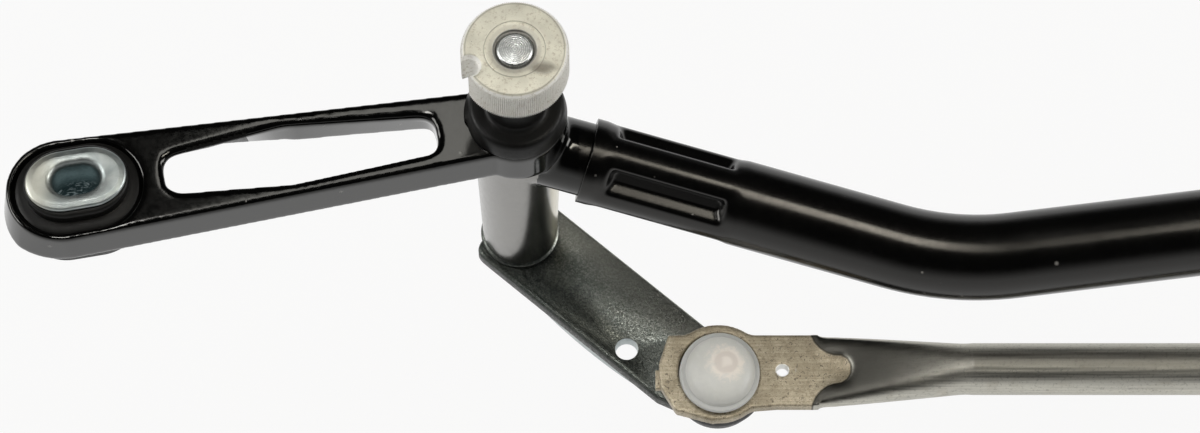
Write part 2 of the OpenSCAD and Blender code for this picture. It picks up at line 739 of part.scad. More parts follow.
// Motor bracket: a plate under the tube, strapped to it, with a third rubber mount
module rivet_places() {
  translate([strap_base[0], strap_base[1], 0]) rotate(stretch_angle)
    for (along_tube = [-1, 1], side = [-1, 1])
      translate([along_tube * strap_pitch / 2, side * rivet_offset, 0]) children();
}
module motor_bracket() {
  color(black_paint) difference() {
    translate([0, 0, plate_foot_z]) linear_extrude(bracket_t) hull() {
      rivet_places() circle(bracket_corner_r);
      translate(motor_at) circle(motor_pcd / 2 + bracket_corner_r);
      translate(foot_at) circle(foot_pad_r + foot_rim_w);
    }
    translate([motor_at[0], motor_at[1], plate_foot_z - over]) {
      cylinder(d = motor_hole_d, h = bracket_t + 2 * over);
      for (turn = motor_bolt_angles) rotate(turn) translate([motor_pcd / 2, 0, 0])
        cylinder(d = motor_bolt_d, h = bracket_t + 2 * over);
    }
    at_point(foot_at, plate_foot_z - over) cylinder(r = foot_hole_r, h = bracket_t + 2 * over);
    translate([0, 0, plate_foot_z - over]) rivet_places() cylinder(d = rivet_d, h = bracket_t + 2 * over);
  }
}
module strap_profile() {
  outer = tube_r + strap_t;
  difference() {
    union() {
      circle(outer);
      translate([-outer, -tube_r]) square([2 * outer, tube_r]);
      translate([-outer - strap_foot_l, -tube_r]) square([2 * (outer + strap_foot_l), strap_t]);
    }
    circle(tube_r);
    translate([-tube_r, -tube_r - over]) square([2 * tube_r, tube_r + over]);
    translate([-outer - over, -outer - over]) square([2 * (outer + over), outer + over - tube_r]);
  }
}
module bracket_straps() {
  color(zinc_plate) difference() {
    for (along_tube = [-1, 1])
      translate(strap_base) rotate(stretch_angle)
        translate([along_tube * strap_pitch / 2 - strap_w / 2, 0, 0]) rotate([90, 0, 90])
          linear_extrude(strap_w) strap_profile();
    translate([0, 0, plate_top_z - over]) rivet_places() cylinder(d = rivet_d, h = strap_t + 2 * over);
  }
}
module strap_rivets() {
  color(bright_steel) rivet_places() {
    translate([0, 0, plate_foot_z]) cylinder(d = rivet_d, h = bracket_t + strap_t);
    translate([0, 0, plate_foot_z - rivet_head_h]) cylinder(d = rivet_head_d, h = rivet_head_h);
    translate([0, 0, plate_top_z + strap_t])
      cylinder(d1 = rivet_head_d, d2 = rivet_d, h = rivet_head_h);
  }
}
module bracket_mount_grommet() {
  color(rubber_black) at_point(foot_at, 0) difference() {
    union() {
      translate([0, 0, plate_top_z]) cylinder(r = foot_pad_r, h = foot_flange_t);
      translate([0, 0, plate_foot_z - eps]) cylinder(r = foot_hole_r, h = bracket_t + 2 * eps);
      translate([0, 0, foot_rubber_foot_z]) cylinder(r = foot_pad_r, h = foot_flange_t);
    }
    translate([0, 0, foot_rubber_foot_z - over])
      cylinder(r = sleeve_r, h = bracket_t + 2 * (foot_flange_t + over));
  }
}
module bracket_mount_sleeve() {
  color(zinc_plate) at_point(foot_at, 0) difference() {
    union() {
      translate([0, 0, foot_sleeve_foot_z])
        cylinder(r = sleeve_r, h = foot_rubber_top_z - foot_sleeve_foot_z);
      translate([0, 0, foot_rubber_top_z]) cylinder(r = foot_pad_r - foot_flange_inset, h = flange_t);
    }
    translate([0, 0, foot_sleeve_foot_z - over])
      cylinder(d = slot_w, h = foot_rubber_top_z + flange_t - foot_sleeve_foot_z + 2 * over);
  }
}

pivot_housing();  // left_pivot_housing
at_right_mirrored() pivot_housing();  // right_pivot_housing
frame_tube();
upper_bush();  // left_upper_bush
lower_bush();  // left_lower_bush
at_right() upper_bush();  // right_upper_bush
at_right() lower_bush();  // right_lower_bush
dust_seal();  // left_dust_seal
at_right() dust_seal();  // right_dust_seal
mount_grommet();  // left_mount_grommet
at_right_mirrored() mount_grommet();  // right_mount_grommet
mount_sleeve();  // left_mount_sleeve
at_right_mirrored() mount_sleeve();  // right_mount_sleeve
motor_bracket();
bracket_straps();
strap_rivets();
bracket_mount_grommet();
bracket_mount_sleeve();
pivot_shaft();  // left_pivot_shaft
drive_head();  // left_drive_head
retaining_ring();  // left_retaining_ring
thrust_washer();  // left_thrust_washer
foot_washer();  // left_foot_washer
left_lever();
ball_stud(ball_at);  // left_ball_stud
at_right() pivot_shaft();  // right_pivot_shaft
at_right() drive_head();  // right_drive_head
at_right() retaining_ring();  // right_retaining_ring
at_right() thrust_washer();  // right_thrust_washer
at_right() foot_washer();  // right_foot_washer
right_lever();
ball_stud(right_ball_at);  // right_ball_stud
ball_stud(drive_ball_at);  // drive_ball_stud
cross_rod();
ball_socket(ball_at);  // cross_rod_left_socket
ball_socket(right_ball_at);  // cross_rod_right_socket
dust_boot(ball_at);  // cross_rod_left_boot
dust_boot(right_ball_at);  // cross_rod_right_boot
drive_rod();
ball_socket(drive_ball_at);  // drive_rod_lever_socket
ball_socket(crank_ball_at);  // drive_rod_crank_socket
dust_boot(drive_ball_at);  // drive_rod_lever_boot
dust_boot(crank_ball_at);  // drive_rod_crank_boot
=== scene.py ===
import math

import bmesh
import bpy
from mathutils import Matrix, Vector
from mathutils.geometry import convex_hull_2d


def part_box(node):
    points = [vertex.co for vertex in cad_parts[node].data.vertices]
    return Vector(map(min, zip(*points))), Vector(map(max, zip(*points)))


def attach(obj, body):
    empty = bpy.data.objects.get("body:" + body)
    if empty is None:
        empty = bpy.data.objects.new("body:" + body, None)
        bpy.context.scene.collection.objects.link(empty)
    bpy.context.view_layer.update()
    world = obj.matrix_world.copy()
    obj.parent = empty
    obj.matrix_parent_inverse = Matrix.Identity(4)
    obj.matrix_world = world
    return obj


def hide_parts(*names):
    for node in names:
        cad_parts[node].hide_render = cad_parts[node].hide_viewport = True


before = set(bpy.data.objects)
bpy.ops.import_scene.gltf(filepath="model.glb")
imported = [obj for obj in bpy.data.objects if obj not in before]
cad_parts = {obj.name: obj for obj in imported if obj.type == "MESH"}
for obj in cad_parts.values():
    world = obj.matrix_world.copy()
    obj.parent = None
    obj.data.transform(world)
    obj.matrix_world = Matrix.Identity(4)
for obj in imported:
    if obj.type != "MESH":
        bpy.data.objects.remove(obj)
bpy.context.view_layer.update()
scene = bpy.context.scene
mm = 0.001
pivotGap = 0.5  # metres between the two wiper shafts
sides = (("left", 0.0), ("right", pivotGap))
print("frame loaded:", len(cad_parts), "nodes")


# camera, floor and light
view = {"lens": 180, "sensor": 36, "farEnd": 50, "place": (0.01718, -0.51071, 1.10510), "tilt": 23.4}
studio = {"floorPlace": (0.25, 0, -0.34), "floorSize": 9.0, "floorTone": 0.88, "floorGlow": 0.85,
          "skyTone": 0.018, "rimTone": 0.95, "rimFront": 0.22, "rimBack": -0.03, "rimFade": 0.34}
lamps = {"topBox": {"place": (-0.03, 0.35, 1.0), "aim": (-0.03, 0.35, 0), "size": (0.16, 0.36),
                    "power": 0.58, "tint": (1.0, 0.98, 0.93)},
         "edgeBox": {"place": (-0.17, 0.06, 1.0), "aim": (-0.17, 0.06, 0), "size": (0.10, 0.30),
                     "power": 1.7, "tint": (1.0, 0.98, 0.95)},
         "tubeBox": {"place": (0.76, 0.08, 2.45), "aim": (0.76, 0.08, 0), "size": (0.24, 0.85),
                     "power": 8.2, "tint": (1.0, 0.95, 0.84)},
         "leftBox": {"place": (-1.2, 0.1, 0.85), "aim": (0.0, 0, -0.05), "size": (0.8, 0.8),
                     "power": 12.5, "tint": (1.0, 0.99, 0.97)},
         "rightBox": {"place": (1.35, 0.1, 0.85), "aim": (0.1, 0, -0.05), "size": (0.8, 0.8),
                      "power": 12.5, "tint": (1.0, 0.99, 0.97)}}


def setStage():
    lens = bpy.data.cameras.new("camera")
    lens.lens = view["lens"]
    lens.sensor_width = view["sensor"]
    lens.clip_end = view["farEnd"]
    camera = bpy.data.objects.new("camera", lens)
    camera.location = view["place"]
    camera.rotation_euler = (math.radians(view["tilt"]), 0, 0)
    scene.collection.objects.link(camera)
    scene.camera = camera
    scene.view_settings.view_transform = "Standard"

    bm = bmesh.new()
    bmesh.ops.create_grid(bm, x_segments=1, y_segments=1, size=studio["floorSize"])
    bmesh.ops.translate(bm, verts=bm.verts, vec=studio["floorPlace"])
    mesh = bpy.data.meshes.new("floor")
    bm.to_mesh(mesh)
    bm.free()
    floor = bpy.data.objects.new("floor", mesh)
    scene.collection.objects.link(floor)

    # the floor glows white where it is seen, and keeps some of its own light and shadow
    paper = bpy.data.materials.new("floorPaper")
    paper.use_nodes = True
    tree = paper.node_tree
    tree.nodes.clear()
    path = tree.nodes.new("ShaderNodeLightPath").outputs
    seen = calc(tree, "MAXIMUM", path["Is Camera Ray"], path["Is Glossy Ray"])
    seen = calc(tree, "MAXIMUM", seen, path["Is Transmission Ray"])
    matt = addNode(tree, "ShaderNodeBsdfDiffuse", Color=(studio["floorTone"],) * 3)
    glow = addNode(tree, "ShaderNodeEmission", Color=(1, 1, 1), Strength=1.0)
    mix = tree.nodes.new("ShaderNodeMixShader")
    tree.links.new(times(tree, seen, studio["floorGlow"]), mix.inputs[0])
    tree.links.new(matt.outputs[0], mix.inputs[1])
    tree.links.new(glow.outputs[0], mix.inputs[2])
    tree.links.new(mix.outputs[0], tree.nodes.new("ShaderNodeOutputMaterial").inputs["Surface"])
    mesh.materials.append(paper)

    # dark above, pale round the rim, higher in front than behind
    sky = bpy.data.worlds.new("studio")
    sky.use_nodes = True
    tree = sky.node_tree
    toward = parted(tree, tree.nodes.new("ShaderNodeTexCoord").outputs["Generated"])
    middle = (studio["rimFront"] + studio["rimBack"]) / 2
    swing = (studio["rimFront"] - studio["rimBack"]) / 2
    edge = calc(tree, "SUBTRACT", middle, times(tree, toward[1], swing))
    over = ramp(tree, calc(tree, "SUBTRACT", toward[2], edge), studio["rimFade"], -studio["rimFade"],
                studio["skyTone"], studio["rimTone"])
    feed(tree, over, tree.nodes["Background"].inputs["Strength"])
    feed(tree, (1, 1, 1), tree.nodes["Background"].inputs["Color"])
    scene.world = sky

    for name, values in lamps.items():
        lamp = bpy.data.lights.new(name, "AREA")
        lamp.shape = "RECTANGLE"
        lamp.size, lamp.size_y = values["size"]
        lamp.energy = values["power"]
        lamp.color = values["tint"]
        box = bpy.data.objects.new(name, lamp)
        box.location = values["place"]
        toAim = Vector(values["aim"]) - Vector(values["place"])
        box.rotation_euler = toAim.to_track_quat("-Z", "Y").to_euler()
        scene.collection.objects.link(box)
    print("stage set")


# shader helpers
def addNode(tree, kind, settings=None, **inputs):
    node = tree.nodes.new(kind)
    for key, value in (settings or {}).items():
        setattr(node, key, value)
    for key, value in inputs.items():
        feed(tree, value, node.inputs[key.replace("_", " ")])
    return node


def feed(tree, value, socket):
    if isinstance(value, bpy.types.NodeSocket):
        tree.links.new(value, socket)
    elif socket.type == "RGBA":
        socket.default_value = (*value[:3], 1)
    else:
        socket.default_value = value


def calc(tree, operation, *values):
    node = tree.nodes.new("ShaderNodeMath")
    node.operation = operation
    for socket, value in zip(node.inputs, values):
        feed(tree, value, socket)
    return node.outputs[0]


def times(tree, first, second):
    return calc(tree, "MULTIPLY", first, second)


def offBy(tree, value, target):
    return calc(tree, "ABSOLUTE", calc(tree, "SUBTRACT", value, target))


def parted(tree, vector):
    return addNode(tree, "ShaderNodeSeparateXYZ", Vector=vector).outputs


def blend(tree, factor, first, second, mode="MIX"):
    node = addNode(tree, "ShaderNodeMix", {"data_type": "RGBA", "blend_type": mode})
    for socket, value in zip((node.inputs[0], node.inputs[6], node.inputs[7]), (factor, first, second)):
        feed(tree, value, socket)
    return node.outputs[2]


def stain(tree, tone, mask, cover, colour):
    return blend(tree, times(tree, mask, cover), tone, colour)


def ramp(tree, factor, low, high, toLow=0.0, toHigh=1.0):
    node = addNode(tree, "ShaderNodeMapRange", {"interpolation_type": "SMOOTHSTEP"}, Value=factor)
    for name, value in (("From Min", low), ("From Max", high), ("To Min", toLow), ("To Max", toHigh)):
        feed(tree, value, node.inputs[name])
    return node.outputs[0]


def noise(tree, coords, size, detail=2.0, rough=0.5, distortion=0.0):
    scale = calc(tree, "DIVIDE", 1.0, size) if isinstance(size, bpy.types.NodeSocket) else 1 / size
    return addNode(tree, "ShaderNodeTexNoise", Vector=coords, Scale=scale, Detail=detail,
                   Roughness=rough, Distortion=distortion).outputs["Fac"]


def newGroup(name, ins, outs):
    tree = bpy.data.node_groups.new(name, "ShaderNodeTree")
    for label, kind, value in ins:
        socket = tree.interface.new_socket(name=label, in_out="INPUT", socket_type="NodeSocket" + kind)
        if kind == "Float":
            socket.default_value = value
    for label, kind in outs:
        tree.interface.new_socket(name=label, in_out="OUTPUT", socket_type="NodeSocket" + kind)
    return tree, tree.nodes.new("NodeGroupInput").outputs, tree.nodes.new("NodeGroupOutput").inputs


def useGroup(tree, name, **inputs):
    return addNode(tree, "ShaderNodeGroup", {"node_tree": bpy.data.node_groups[name]}, **inputs).outputs


def specksOn(tree, coords, size, amount):
    return useGroup(tree, "dustSpecks", Coords=coords, Size=size, Amount=amount)["Mask"]


def wearOn(tree, coords, width, breakup):
    return useGroup(tree, "edgeWear", Coords=coords, Width=width, Breakup=breakup)["Mask"]


def attribute(tree, name):
    return addNode(tree, "ShaderNodeAttribute", {"attribute_name": name}).outputs["Fac"]


def facing(tree):
    return parted(tree, tree.nodes.new("ShaderNodeNewGeometry").outputs["Normal"])


def newFinish(name, grainSize, **sockets):
    finish = bpy.data.materials.new(name)
    finish.use_nodes = True
    tree = finish.node_tree
    shader = tree.nodes["Principled BSDF"].inputs
    for key, value in sockets.items():
        shader[key.replace("_", " ")].default_value = value
    coords = tree.nodes.new("ShaderNodeTexCoord").outputs["Object"]
    return tree, shader, coords, useGroup(tree, "fineGrain", Coords=coords, Size=grainSize)


def coat(tree, shader, tone, rough, relief, depth, strength):
    feed(tree, tone, shader["Base Color"])
    feed(tree, rough, shader["Roughness"])
    bump = addNode(tree, "ShaderNodeBump", Strength=strength, Distance=depth, Height=relief)
    feed(tree, bump.outputs[0], shader["Normal"])


def grainCoat(tree, shader, tone, grain, rough, depth, strength):
    coat(tree, shader, tone, ramp(tree, grain["Height"], 0.3, 0.7, *rough), grain["Height"], depth, strength)


# effects that several finishes share
def makeEffects():
    tree, ins, outs = newGroup("pivotSpace", [("Coords", "Vector", None)],
                               [("Local", "Vector"), ("Radius", "Float")])
    parts = parted(tree, ins["Coords"])
    farSide = calc(tree, "GREATER_THAN", parts[0], pivotGap / 2)
    x = calc(tree, "SUBTRACT", parts[0], times(tree, farSide, pivotGap))
    local = addNode(tree, "ShaderNodeCombineXYZ", X=x, Y=parts[1], Z=parts[2]).outputs[0]
    tree.links.new(local, outs["Local"])
    square = calc(tree, "ADD", times(tree, x, x), times(tree, parts[1], parts[1]))
    tree.links.new(calc(tree, "SQRT", square), outs["Radius"])

    tree, ins, outs = newGroup("dustSpecks", [("Coords", "Vector", None), ("Size", "Float", 0.002),
                                              ("Amount", "Float", 0.1)], [("Mask", "Float")])
    cells = addNode(tree, "ShaderNodeTexVoronoi", Vector=ins["Coords"],
                    Scale=calc(tree, "DIVIDE", 1.0, ins["Size"]), Randomness=1.0).outputs
    chance = addNode(tree, "ShaderNodeSeparateColor", Color=cells["Color"]).outputs
    dot = ramp(tree, cells["Distance"], calc(tree, "MULTIPLY_ADD", chance[1], 0.12, 0.06), 0.03)
    tree.links.new(times(tree, dot, calc(tree, "LESS_THAN", chance[0], ins["Amount"])), outs["Mask"])

    tree, ins, outs = newGroup("edgeWear", [("Coords", "Vector", None), ("Width", "Float", 0.0005),
                                            ("Breakup", "Float", 0.004)], [("Mask", "Float")])
    dot = addNode(tree, "ShaderNodeVectorMath", {"operation": "DOT_PRODUCT"})
    tree.links.new(addNode(tree, "ShaderNodeBevel", {"samples": 4}, Radius=ins["Width"]).outputs[0], dot.inputs[0])
    tree.links.new(tree.nodes.new("ShaderNodeNewGeometry").outputs["Normal"], dot.inputs[1])
    edge = ramp(tree, calc(tree, "SUBTRACT", 1.0, dot.outputs["Value"]), 0.01, 0.12)
    patch = ramp(tree, noise(tree, ins["Coords"], ins["Breakup"], 3.0, 0.6), 0.35, 0.62)
    tree.links.new(times(tree, edge, patch), outs["Mask"])

    tree, ins, outs = newGroup("fineGrain", [("Coords", "Vector", None), ("Size", "Float", 0.0006)],
                               [("Height", "Float"), ("Tone", "Float")])
    small = noise(tree, ins["Coords"], ins["Size"], 3.0, 0.6)
    large = noise(tree, ins["Coords"], times(tree, ins["Size"], 9.0), 2.0, 0.5)
    tree.links.new(calc(tree, "ADD", times(tree, small, 0.65), times(tree, large, 0.35)), outs["Height"])
    tree.links.new(large, outs["Tone"])

    tree, ins, outs = newGroup("drawLines", [("Coords", "Vector", None), ("Pitch", "Float", 0.0004),
                                             ("Length", "Float", 0.02)], [("Lines", "Float")])
    parts = parted(tree, ins["Coords"])
    long, wide, high = (calc(tree, "DIVIDE", part, ins[size])
                        for part, size in zip(parts, ("Length", "Pitch", "Pitch")))
    squeezed = addNode(tree, "ShaderNodeCombineXYZ", X=long, Y=wide, Z=high).outputs[0]
    tree.links.new(noise(tree, squeezed, 1.0, 3.0, 0.6), outs["Lines"])
    print("effects ready")


# black paint: gloss on the castings and the bracket, a browner, duller coat on the tube
paint = {"coats": (("blackPaint", (1, 1, 0.97, 1), (0.08, 0.14)), ("tubePaint", (1, 0.98, 0.94, 1), (0.17, 0.24))),
         "grain": 0.0012, "dark": (0.0005, 0.0005, 0.0005), "light": (0.0014, 0.0014, 0.0013),
         "speck": (0.30, 0.29, 0.27), "wear": (0.35, 0.34, 0.32)}


def makePaint():
    for name, tint, rough in paint["coats"]:
        tree, shader, coords, grain = newFinish(name, paint["grain"], Specular_IOR_Level=0.5, IOR=1.5,
                                                Specular_Tint=tint)
        tone = blend(tree, grain["Tone"], paint["dark"], paint["light"])
        tone = stain(tree, tone, specksOn(tree, coords, 0.004, 0.22), 0.55, paint["speck"])
        tone = stain(tree, tone, wearOn(tree, coords, 0.0004, 0.0022), 0.06, paint["wear"])
        grainCoat(tree, shader, tone, grain, rough, 0.00002, 0.3)


# dark plated steel of the bearing barrels, with a painted reflection: a pale strip on the side beside the tube
barrelSteel = {"grain": 0.0009, "dark": (0.22, 0.215, 0.205), "light": (0.27, 0.265, 0.25),
               "paintedReflection": (0.58, 0.54, 0.41), "reflectionEdge": (0.0064, 0.0078), "reflectionCover": 0.9,
               "speck": (0.05, 0.05, 0.05), "rough": (0.16, 0.26)}


def makeBarrelSteel():
    b = barrelSteel
    tree, shader, coords, grain = newFinish("barrelSteel", b["grain"], Metallic=1.0)
    aside = parted(tree, useGroup(tree, "pivotSpace", Coords=coords)["Local"])[0]
    reflectionSide = calc(tree, "ADD", aside, times(tree, grain["Tone"], 0.0005))
    tone = blend(tree, grain["Tone"], b["dark"], b["light"])
    # painted reflection: the side beside the tube is painted as a pale strip
    tone = blend(tree, ramp(tree, reflectionSide, *b["reflectionEdge"], 0.0, b["reflectionCover"]), tone, b["paintedReflection"])
    tone = stain(tree, tone, specksOn(tree, coords, 0.003, 0.2), 0.6, b["speck"])
    grainCoat(tree, shader, tone, grain, b["rough"], 0.00002, 0.3)


# cast zinc of the knurled heads, with a blotched face and a darker spot on it, and painted shade in the knurl's
# valleys and in the staking groove round the shaft
castZinc = {"grain": 0.0004, "faceDark": (0.53, 0.51, 0.42), "faceLight": (0.88, 0.86, 0.73),
            "faceLevel": (0.00955, 0.0098), "rimDark": (0.84, 0.83, 0.78), "rimLight": (0.94, 0.93, 0.89),
            "valleyShade": (0.40, 0.39, 0.36), "blot": (0.42, 0.36, 0.27), "pit": (0.16, 0.13, 0.10),
            "scribe": (0.20, 0.185, 0.15),
            "scribed": ((0.00622, 0.00013, 0.55), (0.01012, 0.00012, 0.6), (0.00995, 0.00008, 0.3)),
            "spot": (0.20, 0.18, 0.145), "spotPlace": (-1.52, 2.35, 0), "spotScale": (270, 560, 0),
            "ring": (0.44, 0.42, 0.36), "ringRadius": 0.0048, "bore": (0.10, 0.095, 0.075), "rough": (0.45, 0.6)}


def makeCastZinc():
    c = castZinc
    tree, shader, coords, grain = newFinish("castZinc", c["grain"])
    pivot = useGroup(tree, "pivotSpace", Coords=coords)
    blots = ramp(tree, noise(tree, coords, 0.0008, 4.0, 0.8), 0.52, 0.66)
    pits = specksOn(tree, coords, 0.0009, 0.55)
    onFace = ramp(tree, parted(tree, pivot["Local"])[2], *c["faceLevel"])
    face = blend(tree, grain["Tone"], c["faceDark"], c["faceLight"])
    rim = blend(tree, grain["Tone"], c["rimDark"], c["rimLight"])
    # painted shade at the roots of the knurl
    valleyShade = times(tree, ramp(tree, pivot["Radius"], 0.01098, 0.0108), ramp(tree, pivot["Radius"], 0.0103, 0.01045))
    tone = blend(tree, onFace, stain(tree, rim, valleyShade, 0.12, c["valleyShade"]), face)
    tone = stain(tree, tone, blots, 0.6, c["blot"])
    tone = stain(tree, tone, pits, 0.80, c["pit"])
    for radius, width, depth in c["scribed"]:
        line = ramp(tree, offBy(tree, pivot["Radius"], radius), width, width * 0.4)
        tone = stain(tree, tone, times(tree, line, onFace), depth, c["scribe"])
    spot = addNode(tree, "ShaderNodeMapping", Vector=pivot["Local"], Location=c["spotPlace"], Scale=c["spotScale"])
    spot = addNode(tree, "ShaderNodeVectorMath", {"operation": "LENGTH"}, Vector=spot.outputs[0]).outputs["Value"]
    ragged = times(tree, noise(tree, coords, 0.0016, 4.0, 0.7), 1.1)
    spot = ramp(tree, calc(tree, "ADD", spot, ragged), 1.6, 0.8)
    tone = stain(tree, tone, times(tree, spot, onFace), 0.85, c["spot"])
    ring = ramp(tree, offBy(tree, pivot["Radius"], c["ringRadius"]), 0.0009, 0.0003)
    tone = stain(tree, tone, times(tree, ring, onFace), 0.5, c["ring"])
    # painted shade in the staking groove and bore round the shaft
    tone = stain(tree, tone, ramp(tree, pivot["Radius"], 0.00462, 0.00442), 0.7, c["bore"])
    relief = calc(tree, "SUBTRACT", grain["Height"], times(tree, pits, 0.6))
    feed(tree, calc(tree, "MULTIPLY_ADD", onFace, 0.25, 0.2), shader["Metallic"])
    coat(tree, shader, tone, ramp(tree, grain["Height"], 0.3, 0.7, *c["rough"]), relief, 0.00006, 0.5)


# turned steel of the shafts, ringed by the tool, with painted shade on the ends' chamfers and the shafts' sides, and
# plain steel of studs, rivets, rings and washers
turnedSteel = {"grain": 0.0005, "pitch": 0.00042, "dark": (0.48, 0.50, 0.50), "light": (0.80, 0.81, 0.80),
               "dirt": (0.20, 0.215, 0.215), "edge": (0.16, 0.16, 0.15), "rough": (0.22, 0.40)}
brightSteel = {"grain": 0.0007, "dark": (0.46, 0.47, 0.48), "light": (0.63, 0.63, 0.62), "rough": (0.24, 0.42)}


def makeBareSteels():
    t, b = turnedSteel, brightSteel
    tree, shader, coords, grain = newFinish("turnedSteel", t["grain"], Metallic=1.0)
    radius = useGroup(tree, "pivotSpace", Coords=coords)["Radius"]
    waves = calc(tree, "MULTIPLY_ADD", grain["Tone"], 5.0, times(tree, radius, 2 * math.pi / t["pitch"]))
    rings = calc(tree, "MULTIPLY_ADD", calc(tree, "SINE", waves), 0.5, 0.5)
    tone = blend(tree, rings, t["dark"], t["light"])
    tone = stain(tree, tone, ramp(tree, grain["Height"], 0.45, 0.62), 0.5, t["dirt"])
    # painted shade: from 3.6 mm radius outward the shaft's end chamfer and sides are painted darker
    tone = stain(tree, tone, ramp(tree, radius, 0.0036, 0.0039), 0.4, t["edge"])
    coat(tree, shader, tone, ramp(tree, grain["Height"], 0.3, 0.7, *t["rough"]),
         calc(tree, "ADD", rings, grain["Height"]), 0.00004, 0.5)

    tree, shader, coords, grain = newFinish("brightSteel", b["grain"], Metallic=1.0)
    lines = useGroup(tree, "drawLines", Coords=coords, Pitch=0.0003, Length=0.004)["Lines"]
    coat(tree, shader, blend(tree, grain["Tone"], b["dark"], b["light"]),
         ramp(tree, lines, 0.3, 0.7, *b["rough"]), grain["Height"], 0.00004, 0.4)


# zinc plate of the bracket's straps and sleeve, and of the arms' sleeves, with painted shade inside their slots,
# darker with depth, and painted glints deep down
zincPlate = {"grain": 0.0006, "dark": (0.40, 0.45, 0.455), "light": (0.60, 0.645, 0.64), "wear": (0.80, 0.82, 0.81),
             "rough": (0.34, 0.50)}
sleeveZinc = {"shade": (0.76, 0.76, 0.75), "yellow": (0.58, 0.56, 0.46), "yellowEnd": (-0.0925, -0.0985),
              "holeShadeTop": (0.22, 0.30, 0.31), "holeShadeFoot": (0.03, 0.046, 0.05), "paintedGlint": (0.42, 0.50, 0.51),
              "holeFrom": (-0.0178, -0.0192), "holeCover": 0.95}


def makeZincs():
    z, s = zincPlate, sleeveZinc
    for name in ("zincPlate", "sleeveZinc"):
        sleeve = name == "sleeveZinc"
        tree, shader, coords, grain = newFinish(name, z["grain"], Metallic=0.95 if sleeve else 0.75,
                                                Specular_Tint=(0.3, 0.32, 0.32, 1) if sleeve else (1, 1, 1, 1))
        clouds = noise(tree, coords, 0.004, 4.0, 0.6, 0.6)
        tone = blend(tree, ramp(tree, clouds, 0.25, 0.75), z["dark"], z["light"])
        tone = stain(tree, tone, wearOn(tree, coords, 0.0004, 0.003), 0.5, z["wear"])
        if sleeve:
            place = parted(tree, coords)
            tone = blend(tree, 1.0, tone, s["shade"], "MULTIPLY")
            tone = blend(tree, ramp(tree, place[0], *s["yellowEnd"], 0.0, 0.55), tone, s["yellow"])
            # painted shade on the slot's walls, darker with depth, and painted glints near its foot
            paintedGlints = ramp(tree, noise(tree, coords, 0.0022, 4.0, 0.7, 1.5), 0.5, 0.62)
            paintedGlints = times(tree, paintedGlints, ramp(tree, place[2], -0.0255, -0.0275))
            inside = blend(tree, ramp(tree, place[2], -0.0205, -0.0285), s["holeShadeTop"], s["holeShadeFoot"])
            inside = stain(tree, inside, paintedGlints, 0.7, s["paintedGlint"])
            tone = stain(tree, tone, ramp(tree, place[2], *s["holeFrom"]), s["holeCover"], inside)
        coat(tree, shader, tone, ramp(tree, grain["Height"], 0.3, 0.7, *z["rough"]),
             calc(tree, "ADD", grain["Height"], clouds), 0.00005, 0.4)


# dull flaky plate of the levers and foot washers, with a painted reflection across the plate, dark on the near side
# and paler toward the far edge, and painted shade on the side walls
leverPlate = {"grain": 0.0005, "flake": 0.00036, "dark": (0.15, 0.17, 0.158), "light": (0.23, 0.245, 0.22),
              "flakeTone": (0.42, 0.44, 0.40), "grit": (0.06, 0.066, 0.06), "across": (0.656, 0.755, 0),
              "paintedShadeSide": (0.04, 0.046, 0.042), "farSide": (0.46, 0.46, 0.41), "pit": (0.62, 0.62, 0.54),
              "wear": (0.50, 0.50, 0.44), "edge": (0.035, 0.036, 0.032), "rough": (0.30, 0.52)}


def makeLeverPlate():
    p = leverPlate
    tree, shader, coords, grain = newFinish("leverPlate", p["grain"], Metallic=1.0)
    flakes = addNode(tree, "ShaderNodeTexVoronoi", Vector=coords, Scale=1 / p["flake"], Randomness=1.0)
    flake = addNode(tree, "ShaderNodeSeparateColor", Color=flakes.outputs["Color"]).outputs
    clouds = noise(tree, coords, 0.011, 4.0, 0.6, 0.5)
    across = addNode(tree, "ShaderNodeVectorMath", {"operation": "DOT_PRODUCT"})
    feed(tree, useGroup(tree, "pivotSpace", Coords=coords)["Local"], across.inputs[0])
    feed(tree, p["across"], across.inputs[1])
    aside = across.outputs["Value"]
    tone = blend(tree, ramp(tree, clouds, 0.3, 0.7), p["dark"], p["light"])
    tone = blend(tree, ramp(tree, flake[0], 0.2, 1.0, 0.0, 0.6), tone, p["flakeTone"])
    tone = blend(tree, ramp(tree, grain["Height"], 0.5, 0.35, 0.0, 0.5), tone, p["grit"])
    # painted reflection across the plate: darker on the near side, paler toward the far edge
    tone = blend(tree, ramp(tree, aside, 0.004, -0.007, 0.0, 0.62), tone, p["paintedShadeSide"])
    tone = blend(tree, ramp(tree, aside, 0.0005, 0.008, 0.0, 0.5), tone, p["farSide"])
    tone = stain(tree, tone, specksOn(tree, coords, 0.0034, 0.2), 0.5, p["pit"])
    tone = stain(tree, tone, wearOn(tree, coords, 0.0007, 0.004), 0.22, p["wear"])
    # painted shade: walls and rolled edges that turn away from the top are painted near black
    tone = blend(tree, ramp(tree, facing(tree)[2], 0.8, 0.3, 0.0, 0.8), tone, p["edge"])
    relief = calc(tree, "ADD", grain["Height"], times(tree, flake[2], 1.2))
    coat(tree, shader, tone, ramp(tree, flake[1], 0.0, 1.0, *p["rough"]), relief, 0.00010, 0.7)


# drawn steel of the rods: brown on the flat ends, with a painted dark reflection on the pressed ramps and painted
# shade along the tops, bare in the drain holes
rodSteel = {"grain": 0.0006, "drawnDark": (0.42, 0.41, 0.365), "drawnLight": (0.60, 0.585, 0.515),
            "cloud": (0.36, 0.32, 0.25), "pit": (0.12, 0.115, 0.10), "ramp": (0.045, 0.044, 0.039),
            "top": (0.08, 0.078, 0.07), "brownDark": (0.40, 0.345, 0.245), "brownLight": (0.64, 0.565, 0.425),
            "brownLine": (0.27, 0.23, 0.16), "brownGrit": (0.20, 0.165, 0.11), "brownPit": (0.11, 0.09, 0.065),
            "outline": (0.04, 0.036, 0.028), "holeWall": (0.88, 0.88, 0.85), "rough": (0.36, 0.46)}


